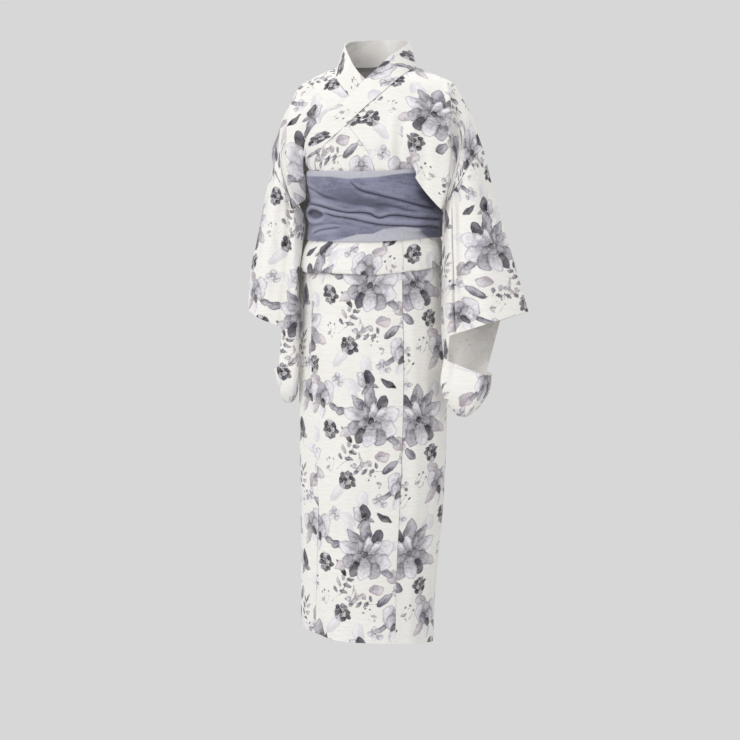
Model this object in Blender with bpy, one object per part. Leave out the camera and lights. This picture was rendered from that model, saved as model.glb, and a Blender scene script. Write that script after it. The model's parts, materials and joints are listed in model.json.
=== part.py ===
"""Summer cotton yukata in its worn shape: hollow, open at the neck, the cuffs, the sleeve backs and the hem.

Two body panels run over the shoulders, two overlap panels cross in front with the left one outside, two deep
sleeves hang from the dropped armhole seams, one collar band runs round the neck and down both fronts, and a
soft sash is wound round the waist and tied at the back. Below the sash the upper cloth folds up in a tuck,
and the skirt comes out from under it.

Frame: +Z up, the front faces -Y, the left side of the garment is +X, and the origin lies between the
shoulders at the base of the neck. All lengths in this file are millimetres until a mesh is made.
"""

import math

import bpy
import numpy as np

MM = 0.001
SIGNS = {"left": 1.0, "right": -1.0}

# Cloth and seams
CLOTH = 1.2
COLLAR_CLOTH = 2.4
SASH_CLOTH = 2.2
SEAM_GAP = 0.6
ARMHOLE_GAP = (0.5, 4.8)
LEFT_LAP = 4.4
SKIRT_LAP = 2.4
SASH_STAND_OFF = 7.6
# Half the width, the depth and the height of the collar's seam round the nape
NAPE = (80.0, 64.0, 5.0)
# Mean radius of the skirt, to turn its seam gaps into angles
SKIRT_RADIUS = 110.0
# Where the collar begins to lie on the chest, and the stations over which it settles and the left front rises
LYING_FROM = 4
LYING_OVER = 2
RAISED_OVER = 2.6
# Directions of the left front's lift: more forward than outward, and upward above this depth below the origin
LIFT_FORWARD = 1.6
LIFT_UP_FROM = 150.0
# Angles over which the laps fade: of the skirt next to its free edge, and of both towards the side seam
SKIRT_LAP_START = (-70, 18)
SKIRT_LAP_END = 60
LEFT_LAP_END = 92

# Heights
SASH_TOP = -210.0
SASH_BOTTOM = -353.0
TUCK_TOP = -345.0
TUCK_BOTTOM = -417.0
TUCK_BOTTOM_BEHIND = -404.0
SKIRT_TOP = -374.0
TUCK_GAP = 1.15
# Angles from which the tuck's lower edge rises towards the back, and over how many, on the left and right
TUCK_RISE_LEFT = (15, 60)
TUCK_RISE_RIGHT = (62, 56)

# Angles round the body: 0 at the centre front, 180 at the centre back, rising towards the left side
SIDE_SEAM = 118.0

# Shares across a body panel, from its inner edge to its outer fold, and the last of them that goes under
# the sash: the cloth beyond it hangs over the sash or beside it
PANEL_SHARES = (0, 0.14, 0.28, 0.42, 0.55, 0.625, 0.72, 0.81, 0.9, 1)
LAST_TUCKED = {("left", False): 4, ("left", True): 4, ("right", False): 7, ("right", True): 4}
# The height below which the cloth beyond those hangs free, and how its edge sags: 1 is straight
HANG_TOP = {("left", False): -197, ("left", True): -195, ("right", False): -164, ("right", True): -195}
HANG_SAG = 0.7
# The free edge of the right front, turned in beside the sash: its depth, its clearance from the form, and how
# far down the outer fold it reaches
TURNED_IN_DEPTH = -45.0
TURNED_IN_CLEARANCE = 19.0
TURNED_IN_REACH = 0.88
# The share of the bend into the free edge from which it turns in
TURNED_IN_FROM = 0.6
# Where the cloth above the sash begins to hang loose, and over which width
LOOSE_FROM = {("left", False): 84, ("left", True): 84, ("right", False): 136, ("right", True): 84}
LOOSE_WIDTH = 38.0
# Angles of the last tucked share of a front with four tucked ones at the heights (213, 417) below the origin,
# of the last tucked share of the right front, and how much nearer to the centre those behind are
TUCKED_HEIGHTS = (213, 417)
TUCKED_ANGLES = (49, 62)
TUCKED_ANGLE_RIGHT = 78.0
TUCKED_BEHIND = 0.9
# How much of the way from there to the side seam the outer fold has in the tuck
FOLD_SHARE = 0.76
FOLD_SHARE_RIGHT = 0.5

# Horizontal sections that the cloth lies on: ellipses
CLOSE_FORM = (
    # height, half_width, front, back, centre_x
    (5, 80, 46, 64, 0),
    (-2, 98, 54, 69, 0),
    (-8, 113, 60, 74, 0),
    (-25, 148, 75, 82, 0),
    (-42, 174, 83, 88, 0),
    (-70, 203, 93, 95, 0),
    (-105, 216, 102, 100, 0),
    (-143, 200, 106, 103, 0),
    (-173, 172, 105, 104, 0),
    (-195, 149, 104, 104, 0),
    (-213, 136, 103, 104, 0),
    (-250, 132, 102, 103, -1),
    (-330, 132, 103, 103, -3),
    (-354, 134, 105, 104, -4),
    (-400, 140, 108, 105, -8),
    (-437, 147, 111, 108, -9),
    (-600, 155, 117, 113, -9),
    (-750, 155, 117, 113, -9),
    (-930, 150, 113, 110, -12),
    (-1050, 143, 107, 106, -19),
    (-1127, 141, 105, 104, -21),
    (-1200, 140, 105, 104, -22),
)
# The same towards the sides, where the cloth hangs straight from the shoulders
LOOSE_FORM = (
    # height, half_width, front, back, centre_x
    (5, 80, 46, 64, 0),
    (-8, 113, 60, 74, 0),
    (-25, 148, 75, 82, 0),
    (-42, 174, 83, 88, 0),
    (-70, 205, 93, 95, 0),
    (-105, 226, 103, 101, 0),
    (-150, 230, 107, 105, 0),
    (-300, 230, 107, 105, 0),
)

# The seam between collar and panels: stations from the neck side (2) to the lower end (12)
SEAM = (
    # station, angle, height
    (2, 90, 5),
    (2.25, 66, 2),
    (2.5, 53, -2),
    (3, 35.8, -13),
    (4, 22.8, -28),
    (5, 8.5, -60),
    (6, 0.9, -83),
    (7, -8.4, -116),
    (8, -18.4, -143),
    (9, -33.5, -173),
    (10, -51, -213),
    (11, -57, -300),
    (12, -62, TUCK_BOTTOM),
)
# The free edge of the collar where it stands round the neck
COLLAR_EDGE_AT_NECK = (
    # station, x, y, z
    (0, 0, 70, 60),
    (1, 48, 43, 57),
    (2, 67, 0, 50),
    (3, 44, -50, 24),
    (4, 24, -69, -2),
)
# The free edge of the collar where it lies on the chest
COLLAR_EDGE_ON_CHEST = (
    # station, angle, height
    (5, 0.3, -25),
    (6, -9.5, -60),
    (7, -19.7, -90),
    (8, -33.2, -130),
    (9, -52, -178),
    (10, -77, -213),
    (11, -83, -300),
    (12, -86, TUCK_BOTTOM),
)
# Rows of the panels: stations of the collar seam, from the nape (0) and the neck side (2) down
NAPE_STATIONS = (2, 1.6, 1.1, 0.5, 0)
BODY_STATIONS = (2, 2.25, 2.6, 3, 3.6, 4.3, 5, 6, 7)
OVERLAP_STATIONS = (7.15, 8, 8.7, 9.5, 10)
SPINE_HEIGHTS = (-30, -70, -110, -152, -192, -213)
# Rows under the sash
UNDER_SASH = (-240, -290, -328)
OVERLAP_COLUMNS = 9

# The seam between the body panel and the overlap panel above the tuck
OVERLAP_SEAM = (
    # height, angle
    (-116, -8.2),
    (-160, 2),
    (-213, 12),
    (-290, 26),
    (-345, 36),
    (TUCK_BOTTOM, 37),
)
# The same seam and the free edge of the overlap panel on the skirt
SKIRT_OVERLAP = (
    # height, seam_angle, edge_angle
    (-374, 37, -46),
    (-600, 37, -42),
    (-928, 35.5, -33.5),
    (-1100, 37, -31),
    (-1190, 38, -21),
)
SKIRT_HEIGHTS = (SKIRT_TOP, -387, -405, -437, -500, -600, -750, -900, -1020, -1110, -1180)
HEM = (
    # angle, height
    (-180, -1176),
    (-110, -1166),
    (-76, -1160),
    (-50, -1166),
    (-33, -1170),
    (-21, -1177),
    (0, -1180),
    (30, -1181),
    (60, -1185),
    (100, -1189),
    (180, -1176),
)

# The outer fold of a panel, where it turns back towards the armhole: shares run from the shoulder down
FRONT_FOLD = (
    # share, x, height
    (0, 152, -26),
    (0.12, 157, -36),
    (0.25, 165, -54),
    (0.4, 171, -90),
    (0.55, 173, -130),
    (0.7, 173, -178),
    (0.85, 168, -230),
    (1, 156, -285),
)
BACK_FOLD = (
    # share, x, height
    (0, 152, -26),
    (0.15, 156, -36),
    (0.3, 161, -60),
    (0.5, 165, -105),
    (0.7, 165, -165),
    (0.85, 160, -215),
    (1, 150, -265),
)
# Lines of the panel between that fold and the armhole seam
FRONT_WING = (
    # share, valley x, y, z, ridge x, y, z
    (0, 167, 0, -38, 196, 0, -88),
    (0.25, 164, -22, -66, 195, -32, -108),
    (0.55, 160, -36, -128, 191, -52, -160),
    (0.8, 168, -64, -216, 172, -60, -236),
    (0.93, 160, -68, -260, 160, -56, -270),
    (1, 155, -65, -283, 153, -50, -281),
)
BACK_WING = (
    # share, valley x, y, z, ridge x, y, z
    (0, 167, 0, -38, 196, 0, -88),
    (0.25, 170, 30, -62, 196, 30, -108),
    (0.55, 170, 54, -122, 190, 52, -160),
    (0.8, 164, 64, -205, 172, 58, -228),
    (0.93, 156, 66, -244, 159, 54, -262),
    (1, 150, 64, -270, 151, 50, -278),
)
# How much the cloth next to the armhole seam swells to the front and the back
WING_SWELL = 1.06
# The armhole seam: from its lower front end over the top of the sleeve to its lower back end
ARMHOLE = (
    # share, x, y, z
    (0, 151, -30, -296),
    (0.17, 170, -55, -264),
    (0.33, 197, -56, -222),
    (0.43, 217, -34, -182),
    (0.5, 225, 0, -162),
    (0.57, 217, 34, -182),
    (0.67, 197, 54, -222),
    (0.83, 170, 52, -262),
    (1, 150, 33, -290),
)

# Sections of the sleeves below the armhole, with x measured outwards on either side: the open edge next to
# the body (in), the crease in front (fold) and the folded outer edge (out); then depths from the middle
LEFT_SLEEVE = (
    # z_in, z_out, x_in, x_fold, x_out, y_middle, front, valley, back
    (-330, -205, 150, 175, 236, -2, 66, 52, 50),
    (-385, -268, 151, 177, 254, -5, 70, 60, 50),
    (-440, -343, 152, 180, 278, -9, 74, 68, 46),
    (-500, -418, 154, 183, 303, -17, 78, 75, 40),
    (-550, -494, 157, 187, 329, -27, 74, 72, 32),
)
LEFT_POUCH = (
    # z_in, z_out, x_in, x_fold, x_out, y_middle, front, valley, back
    (-590, -624, 163, 176, 258, -48, 34, 33, 32),
    (-638, -655, 158, 172, 255, -58, 30, 30, 28),
    (-673, -686, 167, 178, 237, -62, 22, 22, 20),
    (-699, -704, 184, 190, 217, -64, 9, 9, 8),
    (-707, -709, 191, 195, 209, -65, 1.6, 1.6, 1.6),
)
RIGHT_SLEEVE = (
    # z_in, z_out, x_in, x_fold, x_out, y_middle, front, valley, back
    (-330, -200, 147, 158, 225, -2, 66, 52, 50),
    (-385, -262, 147, 156, 240, -5, 70, 54, 50),
    (-440, -343, 150, 154, 255, -9, 72, 54, 46),
    (-500, -418, 150, 153, 269, -17, 72, 54, 40),
    (-545, -500, 150, 153, 274, -24, 70, 52, 34),
)
RIGHT_POUCH = (
    # z_in, z_out, x_in, x_fold, x_out, y_middle, front, valley, back
    (-590, -625, 150, 152, 205, -38, 48, 44, 40),
    (-632, -650, 151, 153, 196, -46, 40, 38, 34),
    (-664, -672, 155, 158, 190, -52, 28, 27, 24),
    (-684, -687, 163, 166, 184, -56, 11, 11, 9),
    (-690, -691, 168, 170, 180, -57, 1.6, 1.6, 1.6),
)
# How far the sleeves stay from the form beside the sash, the tuck and the skirt, below a height
CLEAR_BELOW = -270.0
SLEEVE_CLEARANCE = (
    # height, clearance
    (-200, 17),
    (-360, 17),
    (-425, 17),
    (-452, 9),
    (-480, 5),
    (-760, 5),
)
# Where the points of a section lie on the way round, front edge (0) to back edge (1)
SECTION_SHARES = (0, 0.15, 0.26, 0.38, 0.5, 0.63, 0.84, 1)
# The part of that way that is open at the cuff
MOUTH = {"left": (0.15, 0.65), "right": (0.26, 0.65)}
SHARE_MARGIN = 0.01
# Depths of a section's points as shares of its own depths: front edge, front and back curve, back edge
SECTION_DEPTHS = (0.45, 0.8, 0.85, 0.5)
# Where its valley and its curves lie between the crease and the outer edge, above the cuff and in the pouch
SLEEVE_SPREAD = (0.25, 0.62, 0.62)
POUCH_SPREAD = (0.66, 0.88, 0.86)

# The tuck: how far the upper cloth stands off the form, from under the sash down to its lower edge
TUCK = (
    # share of the way down, stand_off, share of the skirt lap below it
    (0, 0.0, 0),
    (0.15, 0.6, 0.1),
    (0.34, 4.8, 1),
    (0.58, 6.9, 1),
    (0.8, 7.2, 1),
    (0.93, 6.6, 1),
    (1, 5.2, 1),
)

# Rows of the sash, how far its left side rises, and how its edges and turns stand off
SASH_HEIGHTS = (SASH_TOP, -215, -230, -246, -262, -274, -286, -300, -316, -334, -349, SASH_BOTTOM)
SASH_SLOPE = 8.0
SASH_SLOPE_ANGLES = (70, 60)
# Angles from the knot within which the sash lies flat, and over which its folds begin
KNOT_FLAT = (20, 30)
SASH_COLUMNS = 60
SASH_FLARE = (
    # height, stand_off
    (-353, 2.5),
    (-320, 0.5),
    (-291, 5.0),
    (-274, 0.0),
    (-225, 6.0),
    (-205, 6.0),
)
# Folds pressed into the sash
SASH_FOLDS = (
    # start_angle, end_angle, start_height, end_height, depth, width
    (-62, 66, -272, -312, 4.2, 7.0),
    (-48, 60, -292, -326, 2.8, 6.0),
    (-20, 58, -234, -286, 2.4, 5.0),
    (-60, -8, -342, -322, 2.4, 5.0),
    (96, 170, -262, -248, 3.0, 8.0),
    (190, 264, -250, -276, 3.0, 8.0),
    (104, 174, -318, -300, 2.6, 8.0),
    (192, 260, -306, -322, 2.6, 8.0),
)

# The bow at the back
KNOT_SIZE = (46.0, 24.0, 60.0)
KNOT_HEIGHT = -272.0
KNOT_ROUNDING = 7.0
LOOP_LENGTH = 126.0
LOOP_DEPTH = 15.0
LOOP_WIDTHS = (40.0, 112.0)
LOOP_DROP = 14.0
LOOP_BEND = 14.0
LOOP_COLUMNS = 24
TAIL_LENGTHS = {"left": 330.0, "right": 300.0}
TAIL_WIDTHS = (20.0, 86.0)
TAIL_WAVE = 3.0
TAIL_WAVES = 1.5
TAIL_START = 1.0
TAIL_SPREAD = 8.0
TAIL_LEAN = 3.0
TAIL_SLANT = 10.0
TAIL_WIDENING = 1.6

# Points inside the worn cloth: the outer faces of each piece look away from its own point
INSIDE_PANEL = (60, 0, -200)
INSIDE_CHEST = (0, 0, -300)
INSIDE_NECK = (0, 0, -60)
INSIDE_SKIRT = (0, 0, -800)
INSIDE_SLEEVE = (200, -20, -420)
INSIDE_SASH = (0, 0, -280)
BEFORE_TAILS = (0, 0, -400)

COTTON = (0.88, 0.87, 0.84)
SASH_COLOUR = (0.21, 0.22, 0.33)
ROUGHNESS = 0.85
# Faces that meet at more than this angle in degrees keep a sharp edge
SHARP_ANGLE = 50


def curve(at, table):
    """Smooth curve through the rows of a table, by its first column: cubic, slopes from the neighbours."""
    rows = np.asarray(table, float)
    rows = rows[np.argsort(rows[:, 0])]
    stations = rows[:, 0]
    values = rows[:, 1:]
    slopes = np.gradient(values, stations, axis=0)
    at = np.clip(np.atleast_1d(np.asarray(at, float)), stations[0], stations[-1])
    i = np.clip(np.searchsorted(stations, at, side="right") - 1, 0, len(stations) - 2)
    step = (stations[i + 1] - stations[i])[..., None]
    t = (at - stations[i])[..., None] / step
    return (
        (2 * t**3 - 3 * t**2 + 1) * values[i]
        + (t**3 - 2 * t**2 + t) * step * slopes[i]
        + (3 * t**2 - 2 * t**3) * values[i + 1]
        + (t**3 - t**2) * step * slopes[i + 1]
    )


def straight(at, table):
    """Straight runs through the rows of a table, by its first column."""
    rows = np.asarray(sorted(table), float)
    return np.stack([np.interp(at, rows[:, 0], column) for column in rows[:, 1:].T], axis=-1)


def smoothstep(t):
    t = np.clip(t, 0, 1)
    return t * t * (3 - 2 * t)


def points(x, y, z):
    return np.stack(np.broadcast_arrays(x, y, z), axis=-1).astype(float)


def on_body(angle, height, stand_off=0.0):
    """Points at angles (degrees) and heights, standing off the close form by some millimetres."""
    half, front, back, centre = np.moveaxis(straight(height, CLOSE_FORM), -1, 0)
    turn = np.radians(angle)
    depth = np.where(np.cos(turn) > 0, front, back)
    x = centre + (half + stand_off) * np.sin(turn)
    return points(x, -(depth + stand_off) * np.cos(turn), height)


def on_sheet(x, height, loose, back):
    """Points of a panel above the sash: 0 is close to the body and 1 hangs loose."""
    depths = []
    for form in (CLOSE_FORM, LOOSE_FORM):
        half, front, rear, centre = np.moveaxis(straight(height, form), -1, 0)
        depth = rear if back else -front
        share = np.clip((x - centre) / half, -1, 1)
        depths.append(depth * np.sqrt(1 - share**2))
    return points(x, depths[0] * (1 - loose) + depths[1] * loose, height)


def seam_points(stations):
    """Points of the collar seam on the left side, from the nape (0) to the lower end (12)."""
    stations = np.asarray(stations, float)
    turn = np.radians(45 * np.clip(stations, 0, 2))
    at_nape = points(NAPE[0] * np.sin(turn), NAPE[1] * np.cos(turn), NAPE[2])
    angle, height = curve(stations, SEAM).T
    return np.where((stations <= 2)[:, None], at_nape, on_body(angle, height))


def collar_on_chest(stations, share):
    """Points of the left collar where it lies on the chest: share 0 is its seam, 1 its free edge."""
    seam_angle, seam_height = curve(stations, SEAM).T
    edge_angle, edge_height = curve(stations, COLLAR_EDGE_ON_CHEST).T
    angle = seam_angle * (1 - share) + edge_angle * share
    return on_body(angle, seam_height * (1 - share) + edge_height * share)


def collar_points(stations, share):
    """Points of the left collar from the nape (0) to the sash (10), across it by share."""
    stations = np.asarray(stations, float)
    at_neck = [row[0] for row in COLLAR_EDGE_AT_NECK]
    edge = np.array([row[1:] for row in COLLAR_EDGE_AT_NECK], float)
    seam = seam_points(at_neck)
    standing = seam * (1 - share) + edge * share
    lying = collar_on_chest((5, 6, 7), share)
    net = np.concatenate([standing, lying])
    table = np.concatenate([np.arange(len(net))[:, None], net], axis=1)
    free = curve(stations, table)
    return np.where((stations < 6)[:, None], free, collar_on_chest(stations, share))


def panel_edge_at_collar(stations):
    """The edge of a panel at the collar seam: below the collar where that stands, beside it where it lies."""
    stations = np.asarray(stations, float)
    near = collar_points(stations, 0.0)
    across = collar_points(stations, 0.2) - near
    distance = SEAM_GAP + (CLOTH + SEAM_GAP) * (1 - smoothstep((stations - LYING_FROM) / LYING_OVER))
    return near - across / np.linalg.norm(across, axis=-1, keepdims=True) * distance[:, None]


def station_lift(stations):
    """How far the left front is raised at stations of the collar seam, to lie over the right one."""
    return LEFT_LAP * smoothstep((np.asarray(stations, float) - 2) / RAISED_OVER)


def raised(grid, distance):
    """Points of the chest and neck moved outwards, all in directions away from inside the chest."""
    away = grid * np.array([1.0, LIFT_FORWARD, 0.0])
    away[..., 2] = np.maximum(grid[..., 2] + LIFT_UP_FROM, 0)
    away /= np.linalg.norm(away, axis=-1, keepdims=True)
    return grid + away * np.broadcast_to(distance, grid.shape[:-1])[..., None]


def by_height(heights, table):
    """Values of a table whose first column is a height, at other heights."""
    rows = [(-row[0], *row[1:]) for row in table]
    return curve(-np.asarray(heights, float), rows)


def skirt_lap(angle):
    """How far the left layer of the skirt stands off the right one."""
    start, over = SKIRT_LAP_START
    fade = 1 - smoothstep((angle - SKIRT_LAP_END) / (SIDE_SEAM - SKIRT_LAP_END))
    return SKIRT_LAP * fade * smoothstep((angle - start) / over)


def left_lap(angle):
    """How far the left layer of the upper cloth stands off the right one, under the sash and in the tuck."""
    return LEFT_LAP * (1 - smoothstep((angle - LEFT_LAP_END) / (SIDE_SEAM - LEFT_LAP_END)))


def tuck_bottom(angle):
    """Height of the tuck's lower edge: lower in front than behind."""
    left_from, left_over = TUCK_RISE_LEFT
    right_from, right_over = TUCK_RISE_RIGHT
    rise_left = smoothstep((angle - left_from) / left_over)
    rise = np.maximum(rise_left, smoothstep((-angle - right_from) / right_over))
    return TUCK_BOTTOM + (TUCK_BOTTOM_BEHIND - TUCK_BOTTOM) * rise


def tuck_points(angle, side, front):
    """Rows of the tuck at given angles, one column for each, from under the sash round its lower fold."""
    share, stand_off, over_skirt = np.array(TUCK, float).T[:, :, None]
    lap = left_lap(angle) if side == "left" and front else 0.0
    turn = angle * SIGNS[side]
    height = TUCK_TOP + (tuck_bottom(turn) - TUCK_TOP) * share
    return on_body(turn, height, stand_off + skirt_lap(turn) * over_skirt + lap)


def facing_out(grid, present, centre):
    """Unit normals of a grid of points [row, column] from its present cells, on the side away from centre."""
    rows, columns = grid.shape[:2]
    column = np.arange(present.shape[1])
    beside = (column + 1) % columns
    face = np.cross(grid[1:, beside] - grid[:-1, column], grid[1:, column] - grid[:-1, beside])
    face[~present] = 0
    normal = np.zeros(grid.shape)
    for down in (0, 1):
        for columns_met in (column, beside):
            normal[down : rows - 1 + down, columns_met] += face
    normal /= np.maximum(np.linalg.norm(normal, axis=-1, keepdims=True), 1e-9)
    out = (normal * (grid - np.asarray(centre, float))).sum()
    return normal if out > 0 else -normal


def cloth_material(name, colour):
    material = bpy.data.materials.new(name)
    material.use_nodes = True
    shader = material.node_tree.nodes["Principled BSDF"]
    shader.inputs["Base Color"].default_value = (*colour, 1)
    shader.inputs["Roughness"].default_value = ROUGHNESS
    return material


def add_object(name, corners, faces, colour):
    """An object with the mesh of these corners (millimetres) and faces, its faces turned out."""
    mesh = bpy.data.meshes.new(name)
    mesh.from_pydata((np.asarray(corners) * MM).tolist(), [], faces)
    mesh.calc_loop_triangles()
    triangles = [[mesh.vertices[corner].co[:] for corner in t.vertices] for t in mesh.loop_triangles]
    if np.linalg.det(np.array(triangles)).sum() < 0:
        mesh.flip_normals()
    mesh.shade_smooth()
    mesh.set_sharp_from_angle(angle=math.radians(SHARP_ANGLE))
    mesh.materials.append(cloth_material(name + "_cloth", colour))
    obj = bpy.data.objects.new(name, mesh)
    bpy.context.scene.collection.objects.link(obj)
    return obj


def wall(name, grid, thickness, centre, present=None, ring=False, colour=COTTON):
    """A closed wall outside a grid of points [row, column], on the side away from centre.

    Cells whose present is False are holes, and ring joins the last column to the first.
    """
    rows, columns = grid.shape[:2]
    cell_columns = columns if ring else columns - 1
    if present is None:
        present = np.ones((rows - 1, cell_columns), bool)
    outer = grid + facing_out(grid, present, centre) * thickness
    corners = np.concatenate([outer.reshape(-1, 3), grid.reshape(-1, 3)])
    count = rows * columns

    def index(row, column):
        return row * columns + column % columns

    def there(row, column):
        if ring:
            column %= cell_columns
        return 0 <= row < rows - 1 and 0 <= column < cell_columns and present[row, column]

    faces = []
    for row, column in np.argwhere(present):
        a = index(row, column)
        b = index(row, column + 1)
        c = index(row + 1, column + 1)
        d = index(row + 1, column)
        faces.append((a, b, c, d))
        faces.append((c + count, b + count, a + count, d + count))
        sides = (
            (there(row - 1, column), b, a),
            (there(row, column + 1), c, b),
            (there(row + 1, column), d, c),
            (there(row, column - 1), a, d),
        )
        for joined, start, end in sides:
            if not joined:
                faces.append((start, end, end + count, start + count))
    used, faces_of_used = np.unique(np.array(faces), return_inverse=True)
    faces = faces_of_used.reshape(-1, 4).tolist()
    return add_object(name, corners[used], faces, colour)


def mirrored(grid, side):
    """Points on the given side: the tables describe the left one."""
    return np.asarray(grid) * np.array([SIGNS[side], 1.0, 1.0])


def overlap_seam_x(heights):
    return on_body(by_height(heights, OVERLAP_SEAM)[:, 0], np.asarray(heights, float))[:, 0]


def row_heights():
    """Heights of the rows of a front below the point of the overlap panel, down to the sash."""
    return curve(OVERLAP_STATIONS, SEAM)[:, 1]


def front_edge():
    """Inner edge of a body panel in front: the collar seam, then the overlap seam."""
    heights = row_heights()
    on_overlap = points(overlap_seam_x(heights) + SEAM_GAP / 2, 0, heights)
    return np.concatenate([panel_edge_at_collar(BODY_STATIONS), on_overlap])


def back_edge():
    """Inner edge of a body panel behind: the collar seam, then the centre back."""
    on_collar = panel_edge_at_collar(NAPE_STATIONS)
    on_collar[-1, 0] = SEAM_GAP / 2
    spine = points(SEAM_GAP / 2, 0, np.array(SPINE_HEIGHTS, float))
    return np.concatenate([on_collar, spine])


def turned_in_edge(fold_z):
    """The free edge of the right front, turned in and back beside the sash, at heights of the outer fold."""
    z = HANG_TOP["right", False] * (1 - TURNED_IN_REACH) + fold_z * TURNED_IN_REACH
    half, front, _, centre = straight(z, CLOSE_FORM).T
    share = TURNED_IN_DEPTH / (front + TURNED_IN_CLEARANCE)
    x = SIGNS["right"] * centre + (half + TURNED_IN_CLEARANCE) * np.sqrt(1 - share**2)
    return points(x, TURNED_IN_DEPTH, z)


def chest_points(side, back):
    """Rows of a body panel from the shoulder to the sash, from its inner edge to the armhole seam."""
    edge = back_edge() if back else front_edge()
    on_collar = len(NAPE_STATIONS) if back else len(BODY_STATIONS)
    fraction = np.linspace(0, 1, len(edge))
    fold_x, fold_z = curve(fraction, BACK_FOLD if back else FRONT_FOLD).T[:, :, None]
    share = np.array(PANEL_SHARES)[None, :]
    start = PANEL_SHARES[LAST_TUCKED[side, back]]
    hanging = np.clip((share - start) / (1 - start), 0, 1)
    free_from = np.interp(-HANG_TOP[side, back], -edge[:, 2], fraction)
    bend = np.clip((fraction / free_from) ** 2, 0, 1)[:, None]
    share_z = share * (1 - bend) + hanging**HANG_SAG * bend
    x = edge[:, :1] * (1 - share) + fold_x * share
    top = np.where(hanging > 0, np.maximum(edge[:, 2:], HANG_TOP[side, back]), edge[:, 2:])
    z = top * (1 - share_z) + fold_z * share_z
    loose = smoothstep((x - LOOSE_FROM[side, back]) / LOOSE_WIDTH) * (1 - bend) + (hanging > 0) * bend
    sheet = on_sheet(x, z, loose, back)
    if side == "right" and not back:
        turned_in = smoothstep((bend - TURNED_IN_FROM) / (1 - TURNED_IN_FROM))
        column = LAST_TUCKED[side, back] + 1
        sheet[:, column] = sheet[:, column] * (1 - turned_in) + turned_in_edge(fold_z[:, 0]) * turned_in
    sheet[:on_collar, 0] = edge[:on_collar]
    sheet[0, 1:, 1] = 0
    wing = curve(fraction, BACK_WING if back else FRONT_WING).reshape(-1, 2, 3)
    seam = armhole_points(fraction, back)[:, None]
    middle = (wing[:, 1:] + seam) / 2
    middle[:, :, 1] *= WING_SWELL
    return np.concatenate([sheet, wing, middle, seam], axis=1)


def armhole_points(fraction, back):
    """Points of the armhole seam: 0 at the top of the sleeve, 1 at the lower front or back end."""
    return curve(0.5 + 0.5 * fraction if back else 0.5 - 0.5 * fraction, ARMHOLE)


def band_angles(heights, side, back):
    """Angles of a body panel's columns under the sash and in the tuck."""
    last = LAST_TUCKED[side, back]
    edge_angle = by_height(heights, OVERLAP_SEAM)[:, :1]
    hang_angle = np.interp(-heights, TUCKED_HEIGHTS, TUCKED_ANGLES)[:, None]
    fold_share = FOLD_SHARE
    if side == "right" and not back:
        hang_angle = np.full_like(edge_angle, TUCKED_ANGLE_RIGHT)
        fold_share = FOLD_SHARE_RIGHT
    if back:
        hang_angle = 180 - TUCKED_BEHIND * hang_angle
        edge_angle = np.full_like(hang_angle, 180.0)
    shares = np.array(PANEL_SHARES)
    under = np.clip(shares / shares[last], 0, 1)[None, :]
    beyond = np.clip((shares - shares[last]) / (1 - shares[last]), 0, 1) * fold_share
    beyond = np.append(beyond, np.linspace(beyond[-1], 1, 5)[1:])[None, :]
    angle = edge_angle * (1 - under) + hang_angle * under
    angle = np.concatenate([angle, np.repeat(hang_angle, 4, axis=1)], axis=1)
    return angle * (1 - beyond) + SIDE_SEAM * beyond


def band_points(side, back):
    """Rows of a body panel under the sash and in the tuck, in the columns of its chest rows."""
    heights = np.array(UNDER_SASH, float)
    angle = band_angles(heights, side, back)
    tuck_angle = band_angles(np.array([TUCK_BOTTOM]), side, back)[0]
    lap = left_lap(angle) if side == "left" and not back else 0.0
    under = on_body(angle * SIGNS[side], heights[:, None], lap)
    grid = np.concatenate([under, tuck_points(tuck_angle, side, not back)])
    grid[:, 0, 0] += SIGNS[side] * SEAM_GAP / 2
    grid[len(UNDER_SASH) :, -1] += side_seam_shift(side, back)
    return grid


def side_seam_shift(side, back):
    """Half the side seam's gap, away from the other half of the panel."""
    turn = math.radians(SIDE_SEAM)
    towards_back = np.array([SIGNS[side] * math.cos(turn), math.sin(turn), 0.0])
    return towards_back * (SEAM_GAP / 2 if back else -SEAM_GAP / 2)


def panel_half(side, back):
    """One half of a body panel from the shoulder down: points and present cells."""
    chest = chest_points(side, back)
    if side == "left" and not back:
        across = np.concatenate([np.ones(len(PANEL_SHARES)), (0.5, 0, 0, 0)])
        chest = raised(chest, station_lift(BODY_STATIONS + OVERLAP_STATIONS)[:, None] * across)
    grid = np.concatenate([mirrored(chest, side), band_points(side, back)])
    step = LAST_TUCKED[side, back]
    present = np.ones((len(grid) - 1, grid.shape[1] - 1), bool)
    edge = back_edge() if back else front_edge()
    present[: len(chest) - 1, step] = edge[1:, 2] > HANG_TOP[side, back]
    present[len(chest) - 1 : len(chest) + len(UNDER_SASH), step:] = False
    return grid, present


def body_panel(side):
    """A body panel: up the front, over the shoulder and down the back, down to the tuck."""
    front, front_cells = panel_half(side, back=False)
    back, back_cells = panel_half(side, back=True)
    grid = np.concatenate([front[::-1], back[1:]])
    present = np.concatenate([front_cells[::-1], back_cells])
    wall("body_panel_" + side, grid, CLOTH, mirrored(INSIDE_PANEL, side), present)


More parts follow.
